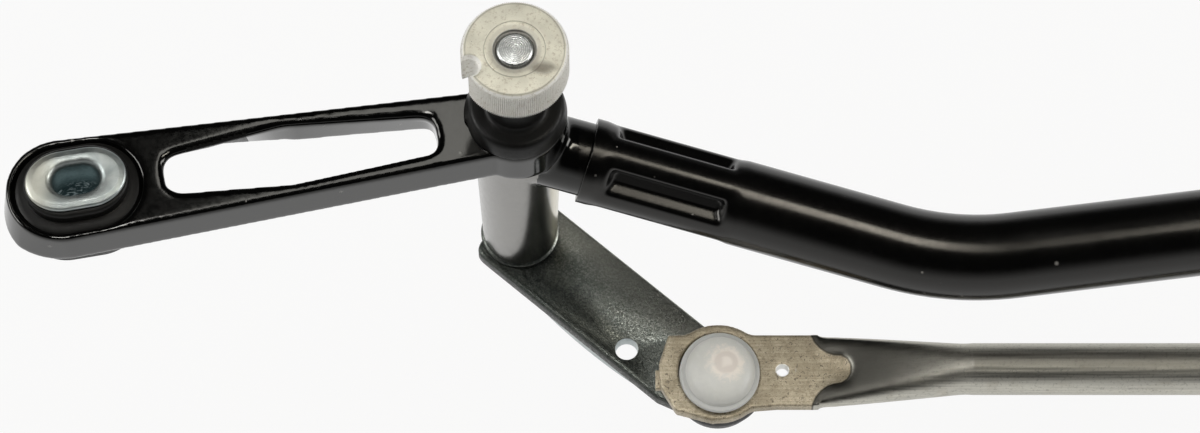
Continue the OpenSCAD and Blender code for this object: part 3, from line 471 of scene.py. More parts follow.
def makeRodSteel():
    r = rodSteel
    tree, shader, coords, grain = newFinish("rodSteel", r["grain"])
    lines = useGroup(tree, "drawLines", Coords=coords, Pitch=0.00045, Length=0.03)["Lines"]
    clouds = noise(tree, coords, 0.007, 4.0, 0.65, 0.8)
    pits = ramp(tree, noise(tree, coords, 0.0006, 4.0, 0.75), 0.54, 0.64)
    coin = attribute(tree, "coin")
    coined = ramp(tree, coin, -0.06, 0.06)
    outline = ramp(tree, calc(tree, "ABSOLUTE", coin), 0.30, 0.08)
    upward = facing(tree)[2]
    # painted reflection: the pressed ramps' upward-sloping faces are painted dark
    pressed = times(tree, attribute(tree, "pressed"), ramp(tree, upward, 0.74, 0.93))
    drawn = blend(tree, ramp(tree, lines, 0.3, 0.7), r["drawnDark"], r["drawnLight"])
    drawn = stain(tree, drawn, ramp(tree, clouds, 0.5, 0.75), 0.4, r["cloud"])
    drawn = stain(tree, drawn, pits, 0.4, r["pit"])
    drawn = stain(tree, drawn, pressed, 0.92, r["ramp"])
    # painted shade: the rod's top, facing straight up, is painted darker
    drawn = blend(tree, ramp(tree, upward, 0.93, 0.99, 0.0, 0.7), drawn, r["top"])
    brown = blend(tree, ramp(tree, clouds, 0.3, 0.7), r["brownDark"], r["brownLight"])
    brown = stain(tree, brown, ramp(tree, lines, 0.35, 0.65), 0.4, r["brownLine"])
    brown = blend(tree, ramp(tree, grain["Height"], 0.52, 0.36, 0.0, 0.6), brown, r["brownGrit"])
    brown = stain(tree, brown, pits, 0.9, r["brownPit"])
    tone = stain(tree, blend(tree, coined, drawn, brown), outline, 0.8, r["outline"])
    tone = blend(tree, ramp(tree, coin, 6.5, 8.5), tone, r["holeWall"])
    feed(tree, calc(tree, "SUBTRACT", 1.0, times(tree, coined, 0.45)), shader["Metallic"])
    rough = calc(tree, "ADD", ramp(tree, lines, 0.3, 0.7, *r["rough"]), times(tree, coined, 0.05))
    relief = calc(tree, "ADD", lines, times(tree, grain["Height"], 0.6))
    coat(tree, shader, tone, rough, relief, 0.00006, 0.45)


# rubber: matt on the seals, the mounts and the windows' corners, darker and duller on the boots
rubber = {"sorts": (("mattRubber", 0.2, (0.32, 0.5)), ("bootRubber", 0.08, (0.30, 0.45))), "grain": 0.0008,
          "dark": (0.0035, 0.0035, 0.0033), "light": (0.008, 0.0078, 0.007), "speck": (0.22, 0.21, 0.19)}


def makeRubbers():
    for name, shine, rough in rubber["sorts"]:
        tree, shader, coords, grain = newFinish(name, rubber["grain"], Specular_IOR_Level=shine)
        tone = blend(tree, grain["Tone"], rubber["dark"], rubber["light"])
        tone = stain(tree, tone, specksOn(tree, coords, 0.003, 0.18), 0.35, rubber["speck"])
        grainCoat(tree, shader, tone, grain, rough, 0.00005, 0.4)


# milky nylon of the ball sockets, with the pale mark of the moulding gate on each dome and painted shade in the crease
# round it
nylon = {"grain": 0.0009, "dark": (0.57, 0.575, 0.55), "light": (0.68, 0.68, 0.645), "gate": (0.86, 0.80, 0.73),
         "gateRing": (0.52, 0.46, 0.42), "flange": (0.44, 0.45, 0.445), "creaseShade": (0.20, 0.20, 0.195),
         "depth": (0.003, 0.003, 0.0027), "rough": (0.32, 0.46)}


def makeNylon():
    n = nylon
    tree, shader, coords, grain = newFinish("milkyNylon", n["grain"], Subsurface_Weight=0.5,
                                            Subsurface_Radius=n["depth"], Subsurface_Scale=1.0, IOR=1.5)
    gate = attribute(tree, "gate")
    clouds = noise(tree, coords, 0.0016, 4.0, 0.7, 0.8)
    ragged = times(tree, calc(tree, "SUBTRACT", clouds, 0.5), 1.4)
    tone = blend(tree, clouds, n["dark"], n["light"])
    tone = stain(tree, tone, ramp(tree, calc(tree, "ADD", gate, ragged), 1.15, 0.55), 0.85, n["gate"])
    tone = stain(tree, tone, ramp(tree, offBy(tree, gate, 0.45), 0.22, 0.06), 0.4, n["gateRing"])
    tone = blend(tree, ramp(tree, gate, 4.5, 5.5, 0.0, 0.6), tone, n["flange"])
    # painted shade: a dark ring in the crease between dome and flange
    tone = stain(tree, tone, ramp(tree, offBy(tree, gate, 4.2), 1.4, 0.4), 0.55, n["creaseShade"])
    grainCoat(tree, shader, tone, grain, n["rough"], 0.00005, 0.3)


# sintered bronze of the bushes
bronze = {"grain": 0.0004, "dark": (0.46, 0.29, 0.14), "light": (0.60, 0.40, 0.21), "pit": (0.14, 0.09, 0.05),
          "rough": (0.34, 0.5)}


def makeBronze():
    tree, shader, coords, grain = newFinish("bushBronze", bronze["grain"], Metallic=1.0)
    tone = blend(tree, grain["Tone"], bronze["dark"], bronze["light"])
    tone = stain(tree, tone, specksOn(tree, coords, 0.0007, 0.4), 0.6, bronze["pit"])
    grainCoat(tree, shader, tone, grain, bronze["rough"], 0.00004, 0.4)


# modelling helpers, sizes in millimetres
def clamped(value):
    return min(max(value, 0), 1)


def middleOf(node):
    low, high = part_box(node)
    return (low + high) / 2


def softened(profile, steps=4):  # each point has its own rounding
    points = [Vector(point[:2]) for point in profile]
    soft = []
    for k, corner in enumerate(points):
        radius = profile[k][2]
        if radius == 0:
            soft.append(corner)
            continue
        before = points[k - 1] - corner
        after = points[(k + 1) % len(points)] - corner
        start = corner + before.normalized() * min(radius, before.length * 0.49)
        end = corner + after.normalized() * min(radius, after.length * 0.49)
        for step in range(steps + 1):
            t = step / steps
            soft.append(start * (1 - t) ** 2 + corner * 2 * t * (1 - t) + end * t ** 2)
    return soft


def turned(profile, spot=(0, 0), steps=96, closed=False):
    bm = bmesh.new()
    chain = [bm.verts.new((point[0] * mm, 0, point[1] * mm)) for point in profile]
    links = [bm.edges.new(pair) for pair in zip(chain, chain[1:])]
    if closed:
        links.append(bm.edges.new((chain[-1], chain[0])))
    bmesh.ops.spin(bm, geom=chain + links, cent=(0, 0, 0), axis=(0, 0, 1), angle=2 * math.pi, steps=steps,
                   use_merge=True)
    bmesh.ops.remove_doubles(bm, verts=bm.verts, dist=1e-7)
    bmesh.ops.recalc_face_normals(bm, faces=bm.faces)
    bmesh.ops.translate(bm, verts=bm.verts, vec=(spot[0], spot[1], 0))
    return bm


def vertsIn(geometry):
    return [part for part in geometry if isinstance(part, bmesh.types.BMVert)]


def startRing(bm, points):
    ring = bmesh.ops.create_circle(bm, segments=len(points), radius=mm)["verts"]
    for vert, point in zip(ring, points):
        vert.co = Vector(point) * mm
    return list(ring)


def ringEdges(bm, ring):
    return [bm.edges.get(pair) for pair in zip(ring, ring[1:] + ring[:1])]


def growRing(bm, ring, points):
    fresh = set(vertsIn(bmesh.ops.extrude_edge_only(bm, edges=ringEdges(bm, ring))["geom"]))
    outer = []
    for vert, point in zip(ring, points):
        outer.append(next(edge.other_vert(vert) for edge in vert.link_edges if edge.other_vert(vert) in fresh))
        outer[-1].co = Vector(point) * mm
    return outer


def growRings(bm, rings):
    first = ring = startRing(bm, rings[0])
    for points in rings[1:]:
        ring = growRing(bm, ring, points)
    return ringEdges(bm, first), ringEdges(bm, ring)


def lofted(rings, closed=False):
    bm = bmesh.new()
    first, last = growRings(bm, rings)
    if closed:
        bmesh.ops.bridge_loops(bm, edges=last + first)
    return bm


def relax(bm, verts, passes):
    for _ in range(passes):
        bmesh.ops.smooth_vert(bm, verts=verts, factor=0.5, use_axis_x=True, use_axis_y=True, use_axis_z=True)


def turnAbout(bm, angle):
    bmesh.ops.rotate(bm, verts=bm.verts, cent=(0, 0, 0), matrix=Matrix.Rotation(math.radians(angle), 3, "Z"))


def joinInto(bm, other):
    mesh = bpy.data.meshes.new("joined")
    other.to_mesh(mesh)
    other.free()
    bm.from_mesh(mesh)
    bpy.data.meshes.remove(mesh)


def castCopy(node, voxel, passes):
    bm = bmesh.new()
    bm.from_mesh(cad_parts[node].data)
    bmesh.ops.remove_doubles(bm, verts=bm.verts, dist=1e-6)
    mesh = bpy.data.meshes.new("rough")
    bm.to_mesh(mesh)
    bm.free()
    rough = bpy.data.objects.new("rough", mesh)
    scene.collection.objects.link(rough)
    skin = rough.modifiers.new("skin", "REMESH")
    skin.mode = "VOXEL"
    skin.voxel_size = voxel * mm
    fine = bpy.data.meshes.new_from_object(rough.evaluated_get(bpy.context.evaluated_depsgraph_get()))
    bpy.data.objects.remove(rough)
    bpy.data.meshes.remove(mesh)
    bm = bmesh.new()
    bm.from_mesh(fine)
    bpy.data.meshes.remove(fine)
    relax(bm, bm.verts, passes)
    return bm


def addPiece(name, bm, body, finish, nodes=(), sharp=38, outward=True):
    if outward:
        bmesh.ops.recalc_face_normals(bm, faces=bm.faces)
    mesh = bpy.data.meshes.new(name)
    bm.to_mesh(mesh)
    bm.free()
    for item in finish if isinstance(finish, tuple) else (finish,):
        mesh.materials.append(bpy.data.materials[item])
    mesh.shade_smooth()
    mesh.set_sharp_from_angle(angle=math.radians(sharp))
    piece = bpy.data.objects.new(name, mesh)
    scene.collection.objects.link(piece)
    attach(piece, body)
    if nodes:
        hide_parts(*nodes)
    return piece


def addWall(piece, thickness, offset):
    wall = piece.modifiers.new("wall", "SOLIDIFY")
    wall.thickness = thickness * mm
    wall.offset = offset


# pivot housings: castings with soft edges, and plated barrels
housing = {"voxel": 0.42, "softPasses": 10, "deck": -21.6, "rimDrop": 1.2, "armFoot": -32.1, "neckFrom": 13.0,
           "bossFoot": -32.3, "bossGap": 0.4, "foot": -82.3,
           "barrelRadius": 9.7, "barrelTop": 9.1, "barrelFoot": 8.0, "barrelWall": 1.2, "barrelSlack": 0.05,
           "brow": ((-72, -10.5), (-49.9, -2.95), (-45.5, -2.0), (-20, -1.1)), "browSpan": (-73, -17),
           "browPasses": 14, "browReach": 2.2, "browDepth": 3.2, "browBack": 4, "browFade": 3.2, "leanMost": 4.6,
           "sill": ((-72, -2.9), (-18.5, 0.8)), "edge": ((-95, -5.6), (0, 6.2)), "windowSpan": (-74, -15),
           "near": ((-70.2, -17.8), (-58.5, -17.2), (-46.4, -16.4), (-33.1, -13.5), (-19.4, -10.2)),
           "nearShift": 0.45, "nearReach": 1.8, "draft": 1.2, "endReach": 0.4, "endFrom": -93, "endFade": 8,
           "endSide": -17, "endSideFade": 6, "endLean": 1.6, "cornerFrom": -64, "cornerFade": 5,
           "cornerSpan": (-19, -7), "dullSpan": (-68, -55.8), "dullBack": 1.5}


def alongLine(line, x):
    for (x0, y0), (x1, y1) in zip(line, line[1:]):
        if x0 <= x <= x1:
            return y0 + (y1 - y0) * (x - x0) / (x1 - x0)
    return line[-1][1] if x > line[-1][0] else line[0][1]


def armAlong(x, mirrored):
    return (pivotGap - x if mirrored else x) / mm


def nearBrow(co, mirrored):
    x = armAlong(co.x, mirrored)
    low, high = housing["browSpan"]
    return low < x < high and abs(co.y / mm - alongLine(housing["brow"], x)) < housing["browReach"]


def trueCast(bm, x, mirrored):
    h = housing
    outward = mm if mirrored else -mm
    browFoot = (h["deck"] - h["browDepth"]) * mm
    rim = h["deck"] - h["rimDrop"]
    windowLow, windowHigh = h["windowSpan"]
    cornerLow, cornerHigh = h["cornerSpan"]
    relax(bm, [vert for vert in bm.verts if vert.co.z > browFoot and nearBrow(vert.co, mirrored)], h["browPasses"])
    for vert in bm.verts:
        place = Vector((armAlong(vert.co.x, mirrored), vert.co.y / mm))
        level = vert.co.z / mm
        drop = clamped((rim - level) / (rim - h["armFoot"]))
        reach = place.length
        if level < h["bossFoot"] - h["bossGap"] and h["barrelRadius"] > reach > h["barrelFoot"] - h["barrelWall"]:
            taper = (h["barrelTop"] - h["barrelFoot"]) * (level - h["foot"]) / (h["bossFoot"] - h["foot"])
            taper = h["barrelFoot"] + taper  # the barrel keeps its true taper
            if reach < taper + h["barrelSlack"]:
                vert.co.x, vert.co.y = x + (vert.co.x - x) * taper / reach, vert.co.y * taper / reach
        if level < h["armFoot"] - 1:
            continue
        if place.x < h["endFrom"]:  # draft of the arm's round end
            fade = min((h["endFrom"] - place.x) / h["endFade"], 1)
            side = clamped((h["endSide"] - place.y) / h["endSideFade"])
            vert.co.x += (h["draft"] * drop + h["endReach"]) * fade * outward
            vert.co.y -= h["draft"] * 0.5 * drop * fade * side * mm
        if not windowLow < place.x < windowHigh:
            continue
        brow, edge, near = (alongLine(h[line], place.x) for line in ("brow", "edge", "near"))
        vert.co.y += h["nearShift"] * max(1 - abs(place.y - near) / h["nearReach"], 0) * mm
        if brow - h["browBack"] < place.y < edge:  # the window's far wall leans back
            back = min(max(alongLine(h["sill"], place.x) - brow, 0), h["leanMost"])
            fade = min((edge - place.y) / (edge - brow), (place.y - brow + h["browBack"]) / h["browFade"], 1)
            vert.co.y += back * drop * fade * mm
        if place.x < h["cornerFrom"] and cornerLow < place.y < cornerHigh:
            vert.co.x += h["endLean"] * drop * min((h["cornerFrom"] - place.x) / h["cornerFade"], 1) * outward


def makeHousings():
    h = housing
    dullLow, dullHigh = h["dullSpan"]
    for side, x in sides:
        mirrored = side == "right"
        bm = castCopy(side + "_pivot_housing", h["voxel"], h["softPasses"])
        trueCast(bm, x, mirrored)
        for face in bm.faces:
            middle = face.calc_center_median()
            along = armAlong(middle.x, mirrored)
            behind = middle.y / mm > alongLine(h["brow"], along) - h["dullBack"]
            if middle.z < h["bossFoot"] * mm and math.hypot(middle.x - x, middle.y) < h["barrelRadius"] * mm:
                face.material_index = 1
            elif along > h["neckFrom"]:
                face.material_index = 2
            elif dullLow < along < dullHigh and face.normal.y < -0.5 and behind:  # the window's narrow corner
                face.material_index = 3
        addPiece(side + "Housing", bm, "frame", ("blackPaint", "barrelSteel", "tubePaint", "mattRubber"),
                 [side + "_pivot_housing"], sharp=60, outward=False)
    print("housings made")


# frame tube: one swept ring, pressed in at the crimped pockets
tube = {"radius": 9.0, "wall": 1.2, "segments": 160, "root": (0, 0, -35.3), "bend": (90.8, -21.5, -49.7),
        "middle": (250, -0.7, -49.7), "start": 15.0, "bendRadius": 65, "bendSteps": 14, "middleRadius": 120,
        "middleSteps": 8, "fineStep": 0.42, "fineLength": 37, "step": 2.4, "inset": 5.0, "length": 25.0, "width": 5.8,
        "gentle": 0.67, "steep": 1.48, "cornerSoft": 1.6, "dishDepth": 0.4, "dishReach": 3.2, "pocketReach": 60,
        "pockets": ((45, 2.4, 0.9), (135, 2.4, 0.9), (225, 2.5, 0.75), (315, 2.5, 0.75))}  # turn, depth, rim
flip = Vector((-1, 1, 1))
flipShift = Vector((pivotGap / mm, 0, 0))


def bendRun(entry, ahead, inward, radius, turn, steps):
    run = []
    for step in range(steps + 1):
        angle = turn * step / steps
        run.append((entry + (ahead * math.sin(angle) + inward * (1 - math.cos(angle))) * radius,
                    ahead * math.cos(angle) + inward * math.sin(angle)))
    return run


def tubeTrack():
    root, bend, middle = Vector(tube["root"]), Vector(tube["bend"]), Vector(tube["middle"])
    first, second = (bend - root).normalized(), (middle - bend).normalized()
    turn = first.angle(second)
    setBack = tube["bendRadius"] * math.tan(turn / 2)
    half = math.atan2(second.y, second.x)
    middleSet = tube["middleRadius"] * math.tan(half)
    track = []
    run = (bend - root).length - setBack
    place = tube["start"]
    while place < run:
        track.append((root + first * place, first))
        place += tube["fineStep"] if place < tube["start"] + tube["fineLength"] else tube["step"]
    inward = (second - first * second.dot(first)).normalized()
    track += bendRun(bend - first * setBack, first, inward, tube["bendRadius"], turn, tube["bendSteps"])
    leave = bend + second * setBack
    run = (middle - bend).length - setBack - middleSet
    count = int(run / (2 * tube["step"]))
    track += [(leave + second * run * step / count, second) for step in range(1, count)]
    inward = Vector((second.y, -second.x, 0))
    track += bendRun(middle - second * middleSet, second, inward, tube["middleRadius"], half, tube["middleSteps"])
    back = [(place * flip + flipShift, ahead * Vector((1, -1, -1))) for place, ahead in reversed(track[:-1])]
    return track + back, first


def pressPockets(point, axis):
    down = Vector((0, 0, -1))
    down = (down - axis * down.dot(axis)).normalized()
    across = Vector((0, 1, 0))
    across = (across - axis * across.dot(axis) - down * across.dot(down)).normalized()
    offset = point - Vector(tube["root"])
    along = offset.dot(axis) - tube["start"] - tube["inset"] - tube["length"] / 2
    if along > tube["length"]:
        return point
    for turn, depth, rim in tube["pockets"]:
        floor = tube["radius"] - depth
        punch = down * math.cos(math.radians(turn)) + across * math.sin(math.radians(turn))
        lift = offset.dot(punch)
        if lift < floor:
            continue
        aside = offset.dot(axis.cross(punch))
        dx, dy = abs(along) - tube["length"] / 2, abs(aside) - tube["width"] / 2
        t = clamped(1 - math.hypot(max(dx, 0), max(dy, 0)) / tube["dishReach"])
        dished = lift - tube["dishDepth"] * t * t * (3 - 2 * t)
        rise = dy * tube["gentle" if (aside > 0) == (turn > 180) else "steep"]
        climb = dx * tube["steep"]
        h = max(rim * tube["cornerSoft"] - abs(rise - climb), 0)
        wall = max(rise, climb) + h * h / (rim * tube["cornerSoft"] * 4)
        pressed = math.sqrt(tube["radius"] ** 2 - tube["width"] ** 2 / 4) - tube["dishDepth"] + wall
        pressed = max(floor, pressed)
        h = clamped(0.5 + 0.5 * (dished - pressed) / rim)
        low = dished + (pressed - dished) * h - rim * h * (1 - h)
        point = point - punch * (lift - max(low, floor))
    return point


def makeTube():
    track, axis = tubeTrack()
    rings = []
    for place, direction in track:
        across = direction.cross(Vector((0, 0, 1))).normalized()
        above = across.cross(direction)
        ring = []
        for step in range(tube["segments"]):
            angle = 2 * math.pi * step / tube["segments"]
            point = place + (across * math.cos(angle) + above * math.sin(angle)) * tube["radius"]
            if place.x < tube["pocketReach"]:
                point = pressPockets(point, axis)
            elif place.x > pivotGap / mm - tube["pocketReach"]:
                point = pressPockets(point * flip + flipShift, axis) * flip + flipShift
            ring.append(point)
        rings.append(ring)
    bm = lofted(rings)
    bmesh.ops.recalc_face_normals(bm, faces=bm.faces)
    if max(bm.faces, key=lambda face: face.calc_center_median().z).normal.z < 0:
        bmesh.ops.reverse_faces(bm, faces=bm.faces)
    piece = addPiece("frameTube", bm, "frame", "tubePaint", ["frame_tube"], outward=False)
    addWall(piece, tube["wall"], -1)
    print("frame tube made:", len(rings), "rings")


# knurled drive heads
head = {"teeth": 160, "tip": 11.0, "root": 10.68, "top": 9.9, "bore": 4.02, "footRadius": 6.2,
        "notchWidth": 3.7, "notchDepth": 3.0, "notchAngle": 202, "stakeRadius": 4.42, "stakeDepth": 1.0,
        "groove": 6.25,
        "side": ((0.5, 0, False), (0, 0.35, True), (0, 8.85, True), (0.28, 9.1, False), (0.36, 9.35, False),
                 (0.62, 9.68, False), (0.85, 9.86, False), (1.05, 9.9, False))}  # inset, level, knurled


def headRing(inset, level, knurled):
    count = head["teeth"] * 4
    half = head["notchWidth"] / 2 + inset
    rim = head["tip"] - inset
    inner = head["tip"] - head["notchDepth"] + head["notchWidth"] / 2
    spread = math.asin(half / rim)
    wall = math.sqrt(rim * rim - half * half) - inner
    path = 2 * wall + math.pi * half
    cos, sin = math.cos(math.radians(head["notchAngle"])), math.sin(math.radians(head["notchAngle"]))
    points = []
    for step in range(count):
        turn = 2 * math.pi * step / count - math.pi
        if abs(turn) < spread:
            walk = (turn / spread + 1) / 2 * path
            bend = min(max(walk - wall, 0), math.pi * half) / half
            along = inner - half * math.sin(bend) + max(wall - walk, 0) + max(walk - wall - math.pi * half, 0)
            aside = -half * math.cos(bend)
        else:
            reach = rim if not knurled or step % 4 < 2 else head["root"]
            along, aside = reach * math.cos(turn), reach * math.sin(turn)
        points.append((along * cos - aside * sin, along * sin + aside * cos, level))
    return points


def plainRing(radius, level, count, turn=0.0):
    steps = [2 * math.pi * step / count + turn for step in range(count)]
    return [(radius * math.cos(angle), radius * math.sin(angle), level) for angle in steps]


def makeHeads():
    count = head["teeth"] * 4
    start = math.radians(head["notchAngle"]) - math.pi
    groove, bore, stake, depth = (head[key] for key in ("groove", "bore", "stakeRadius", "stakeDepth"))
    face = ((groove + 0.2, 0), (groove + 0.05, -0.07), (groove - 0.05, -0.07), (groove - 0.2, 0), (5.1, 0),
            (4.85, -0.1), (4.6, -0.16), (stake, -0.34), (stake, -depth), (bore, -depth))
    for side, x in sides:
        rings = [plainRing(radius, 0, count, start) for radius in (bore, head["footRadius"])]
        rings += [headRing(*step) for step in head["side"]]
        rings += [plainRing(radius, head["top"] + level, count, start) for radius, level in face]
        bm = lofted(rings, closed=True)
        bmesh.ops.translate(bm, verts=bm.verts, vec=(x, 0, 0))
        addPiece(side + "DriveHead", bm, side + "_pivot", "castZinc", [side + "_drive_head"], sharp=25)
    print("drive heads made")


# shafts, seals and foot washers
shaft = {"radius": 4.5, "endRadius": 4.0, "endLevel": 9.75, "spigot": 4.0, "leverTop": -83.9, "leverFoot": -87.4,
         "grooveLevel": -20.5, "grooveHeight": 1.0, "grooveRadius": 4.05}
seal = {"deck": -21.6, "top": -17.1, "baseRadius": 10.5, "topRadius": 9.8, "neckRadius": 5.45, "neckTop": -0.5,
        "bore": 4.55, "wall": 1.6, "roof": 1.2, "flash": 0.45, "flashSpan": (-12, 24), "flashLevel": (0.2, 3.0),
        "flashFrom": 9.6}
washer = ((4.55, -83.9, 0.15), (8.45, -83.9, 0.2), (8.45, -82.9, 0.3), (7.7, -82.5, 0.15), (4.55, -82.5, 0.15))


def makeShafts():
    s = shaft
    foot, top, end, low = s["leverFoot"], s["leverTop"], s["endLevel"], s["grooveLevel"]
    high = low + s["grooveHeight"]
    profile = softened([(0, foot - 2, 0), (3.6, foot - 2, 0.8), (5.7, foot - 1.2, 0.6), (5.7, foot, 0.2),
                        (s["spigot"], foot, 0), (s["spigot"], top, 0), (s["radius"], top, 0), (s["radius"], low, 0),
                        (s["grooveRadius"], low, 0), (s["grooveRadius"], high, 0), (s["radius"], high, 0),
                        (s["radius"], 0, 0.2), (s["endRadius"], 0, 0.2), (s["endRadius"], end - 0.75, 0.25),
                        (3.45, end, 0.3), (0, end, 0)])
    for side, x in sides:
        addPiece(side + "Shaft", turned(profile, (x, 0), 128), side + "_pivot", "turnedSteel",
                 [side + "_pivot_shaft"])
    print("shafts made")


def makeSeals():
    s = seal
    deck, top, neck, inner = s["deck"], s["top"], s["neckTop"], s["top"] - s["roof"]
    profile = softened([(s["baseRadius"] - s["wall"], deck, 0), (s["baseRadius"], deck, 0.35),
                        (s["baseRadius"] - 0.12, deck + 1.1, 0.5), (s["topRadius"], top, 1.3),
                        (s["neckRadius"] + 0.4, top, 1.4), (s["neckRadius"] + 0.1, neck - 0.8, 0.3),
                        (s["neckRadius"], neck, 0.3), (s["bore"], neck, 0.2), (s["bore"], inner, 0.3),
                        (s["topRadius"] - s["wall"], inner, 0.3)])
    for side, x in sides:
        bm = turned(profile, (x, 0), 144, closed=True)
        for vert in bm.verts:  # a thin flap of moulding flash on the cup's rim
            angle = math.degrees(math.atan2(vert.co.y, x - vert.co.x))
            onFlap = s["flashSpan"][0] < angle < s["flashSpan"][1]
            onFlap = onFlap and s["flashLevel"][0] < vert.co.z / mm - deck < s["flashLevel"][1]
            if onFlap and math.hypot(vert.co.x - x, vert.co.y) > s["flashFrom"] * mm:
                vert.co.x -= s["flash"] * mm
        addPiece(side + "Seal", bm, "frame", "mattRubber", [side + "_dust_seal"])
    for side, x in sides:
        addPiece(side + "FootWasher", turned(softened(washer), (x, 0), 96, closed=True), side + "_pivot", "leverPlate",
                 [side + "_foot_washer"])
    print("seals and washers made")


# rubber mounts and their steel sleeves at the arms' ends
mount = {"place": (-90.049, -16.461), "angle": 10.36, "steps": 96, "deck": -21.6, "recess": -22.75, "armFoot": -32.1,
         "padTop": -18.45, "foot": -37.9, "coreRadius": 7.35, "coreStraight": 6.4, "sleeveLong": 10.45,
         "sleeveWide": 6.65, "sleeveTop": -17.1, "sleeveFoot": -36.1, "slotLong": 5.0, "slotWide": 3.3, "wall": 1.3,
         "padEnds": 0.7, "coreEnds": 0.95, "padRings": 7,
         "pad": ((-0.2, -0.2, 0), (0.05, 0.5, -0.05), (0.35, 0.95, -0.35), (0.45, 1.1, -0.9), (0.3, 1.0, -1.4)),
         "flange": ((-0.35, -0.35, -1.3), (-0.08, -0.08, -1.05), (0, 0, -0.7), (-0.12, -0.12, -0.35),
                    (-0.5, -0.5, -0.14), (-1.1, -1.1, -0.1), (-1.3, -1.25, -0.02), (-1.5, -1.45, 0)),
         "mouth": ((1.35, 1.25, -0.02), (0.85, 0.8, -0.13), (0.45, 0.42, -0.42), (0.17, 0.16, -0.85),
                   (0.03, 0.03, -1.4), (0, 0, -2.0))}  # long, wide and level past the sleeve or its slot


def ovalRing(longHalf, wideHalf, level, ends):
    points = []
    for step in range(mount["steps"]):
        angle = 2 * math.pi * (step + 0.5) / mount["steps"]
        straight = math.copysign(longHalf - wideHalf, math.cos(angle)) + wideHalf * math.cos(angle)
        points.append((straight * ends + longHalf * math.cos(angle) * (1 - ends), wideHalf * math.sin(angle), level))
    return points


def seatMount(bm, mirrored):
    turnAbout(bm, mount["angle"])
    bmesh.ops.translate(bm, verts=bm.verts, vec=(mount["place"][0] * mm, mount["place"][1] * mm, 0))
    if mirrored:
        bmesh.ops.scale(bm, verts=bm.verts, vec=(-1, 1, 1))
        bmesh.ops.translate(bm, verts=bm.verts, vec=(pivotGap, 0, 0))
        bmesh.ops.reverse_faces(bm, faces=bm.faces)
    return bm


def makeMounts():
    m = mount
    half, core, deck, arm, foot = m["coreStraight"] / 2, m["coreRadius"], m["deck"], m["armFoot"], m["foot"]
    long, wide, top, low = m["sleeveLong"], m["sleeveWide"], m["sleeveTop"], m["sleeveFoot"]
    hole, narrow, wall = m["slotLong"], m["slotWide"], m["wall"]
    lobes = ((9.3, deck - 0.65), (9.6, deck - 0.85), (9.6, m["recess"]), (core, m["recess"]), (core, arm), (9.0, arm),
             (9.3, arm - 0.4), (9.3, foot + 0.8), (9.0, foot + 0.25), (8.3, foot))
    rubberRings = [(wall + hole, wall + narrow, m["padTop"] - 0.05)]
    rubberRings += [(long + far, wide + out, m["padTop"] + level) for far, out, level in m["pad"]]
    rubberRings += [(long + 0.2, wide + 0.9, deck - 0.25), (half + 8.6, 8.5, deck - 0.55)]
    rubberRings += [(half + radius, radius, level) for radius, level in lobes]
    rubberRings += [(wall + hole, wall + narrow, foot)]
    sleeveRings = [(hole + wall, narrow + wall, low + 0.25), (hole + wall, narrow + wall, top - 1.35)]
    sleeveRings += [(long + far, wide + out, top + level) for far, out, level in m["flange"]]
    sleeveRings += [(hole + far, narrow + out, top + level) for far, out, level in m["mouth"]]
    sleeveRings += [(hole, narrow, low + 0.3), (hole + 0.3, narrow + 0.3, low),
                    (hole + wall - 0.25, narrow + wall - 0.25, low)]
    padEnds, coreEnds = m["padEnds"], m["coreEnds"]
    for side, mirrored in (("left", False), ("right", True)):
        rings = [ovalRing(*ring, padEnds if k < m["padRings"] else coreEnds) for k, ring in enumerate(rubberRings)]
        addPiece(side + "MountRubber", seatMount(lofted(rings, closed=True), mirrored), "frame", "mattRubber",
                 [side + "_mount_grommet"], sharp=50)
        rings = [ovalRing(*ring, padEnds) for ring in sleeveRings]
        addPiece(side + "MountSleeve", seatMount(lofted(rings, closed=True), mirrored), "frame", "sleeveZinc",
                 [side + "_mount_sleeve"], sharp=50)
    print("arm mounts made")


# stamped levers with a stiffening lip
lever = {"top": -83.9, "foot": -87.4, "halfWidth": 9.6, "reach": 56.2, "angle": -41.0, "driveReach": 48.0,
         "driveAngle": 137.5, "roll": 0.7, "burr": 0.25, "tip": 6.8, "taper": 9.0, "behind": 5.4, "square": 0.42,
         "shaftHole": 4.0, "studHole": 3.0, "toolHole": 2.4, "toolAlong": 35.0, "toolAside": -5.4, "endSteps": 24,
         "lipLength": 32.0, "lipDepth": 2.1, "lipRoot": 1.2, "lipWall": 1.6, "lipEdge": 0.3, "lipInset": 0.03}


def polar(reach, angle):
    return Vector((reach * math.cos(math.radians(angle)), reach * math.sin(math.radians(angle))))


def leverRing(path, inset, level):
    s = lever
    half, tip, steps = s["halfWidth"] - inset, s["tip"] - inset, s["endSteps"]
    points = []
    for walk in (path, path[::-1]):
        for before, at, after in zip(walk, walk[1:], walk[2:]):
            first, second = (at - before).normalized(), (after - at).normalized()
            right = Vector((first.y, -first.x))
            middle = (right + Vector((second.y, -second.x))).normalized()
            points.append(at + middle * half / middle.dot(right))
        end = walk[-1]
        ahead = (end - walk[-2]).normalized()
        right = Vector((ahead.y, -ahead.x))
        start, radius = math.pi / 2, half
        if end.length > 1:  # an end with a ball narrows to its tip
            corner = Vector((half, -s["taper"]))
            start = math.atan2(corner.x, corner.y) - math.acos(tip / corner.length)
            radius = tip
            points.append(end + right * corner.x + ahead * corner.y)
        for step in range(steps + 1):
            angle = start * (1 - 2 * step / steps)
            aside, on = math.sin(angle) * radius, math.cos(angle) * radius
            if end.length <= 1:  # the shaft's end is cut nearly square
                aside = math.copysign(abs(math.sin(angle)) ** s["square"], angle) * half
                on = max(math.cos(angle), 0) ** s["square"] * (s["behind"] - inset)
            points.append(end + right * aside + ahead * on)
        if end.length > 1:
            points.append(end - right * corner.x + ahead * corner.y)
    return [(point.x, point.y, level) for point in points]


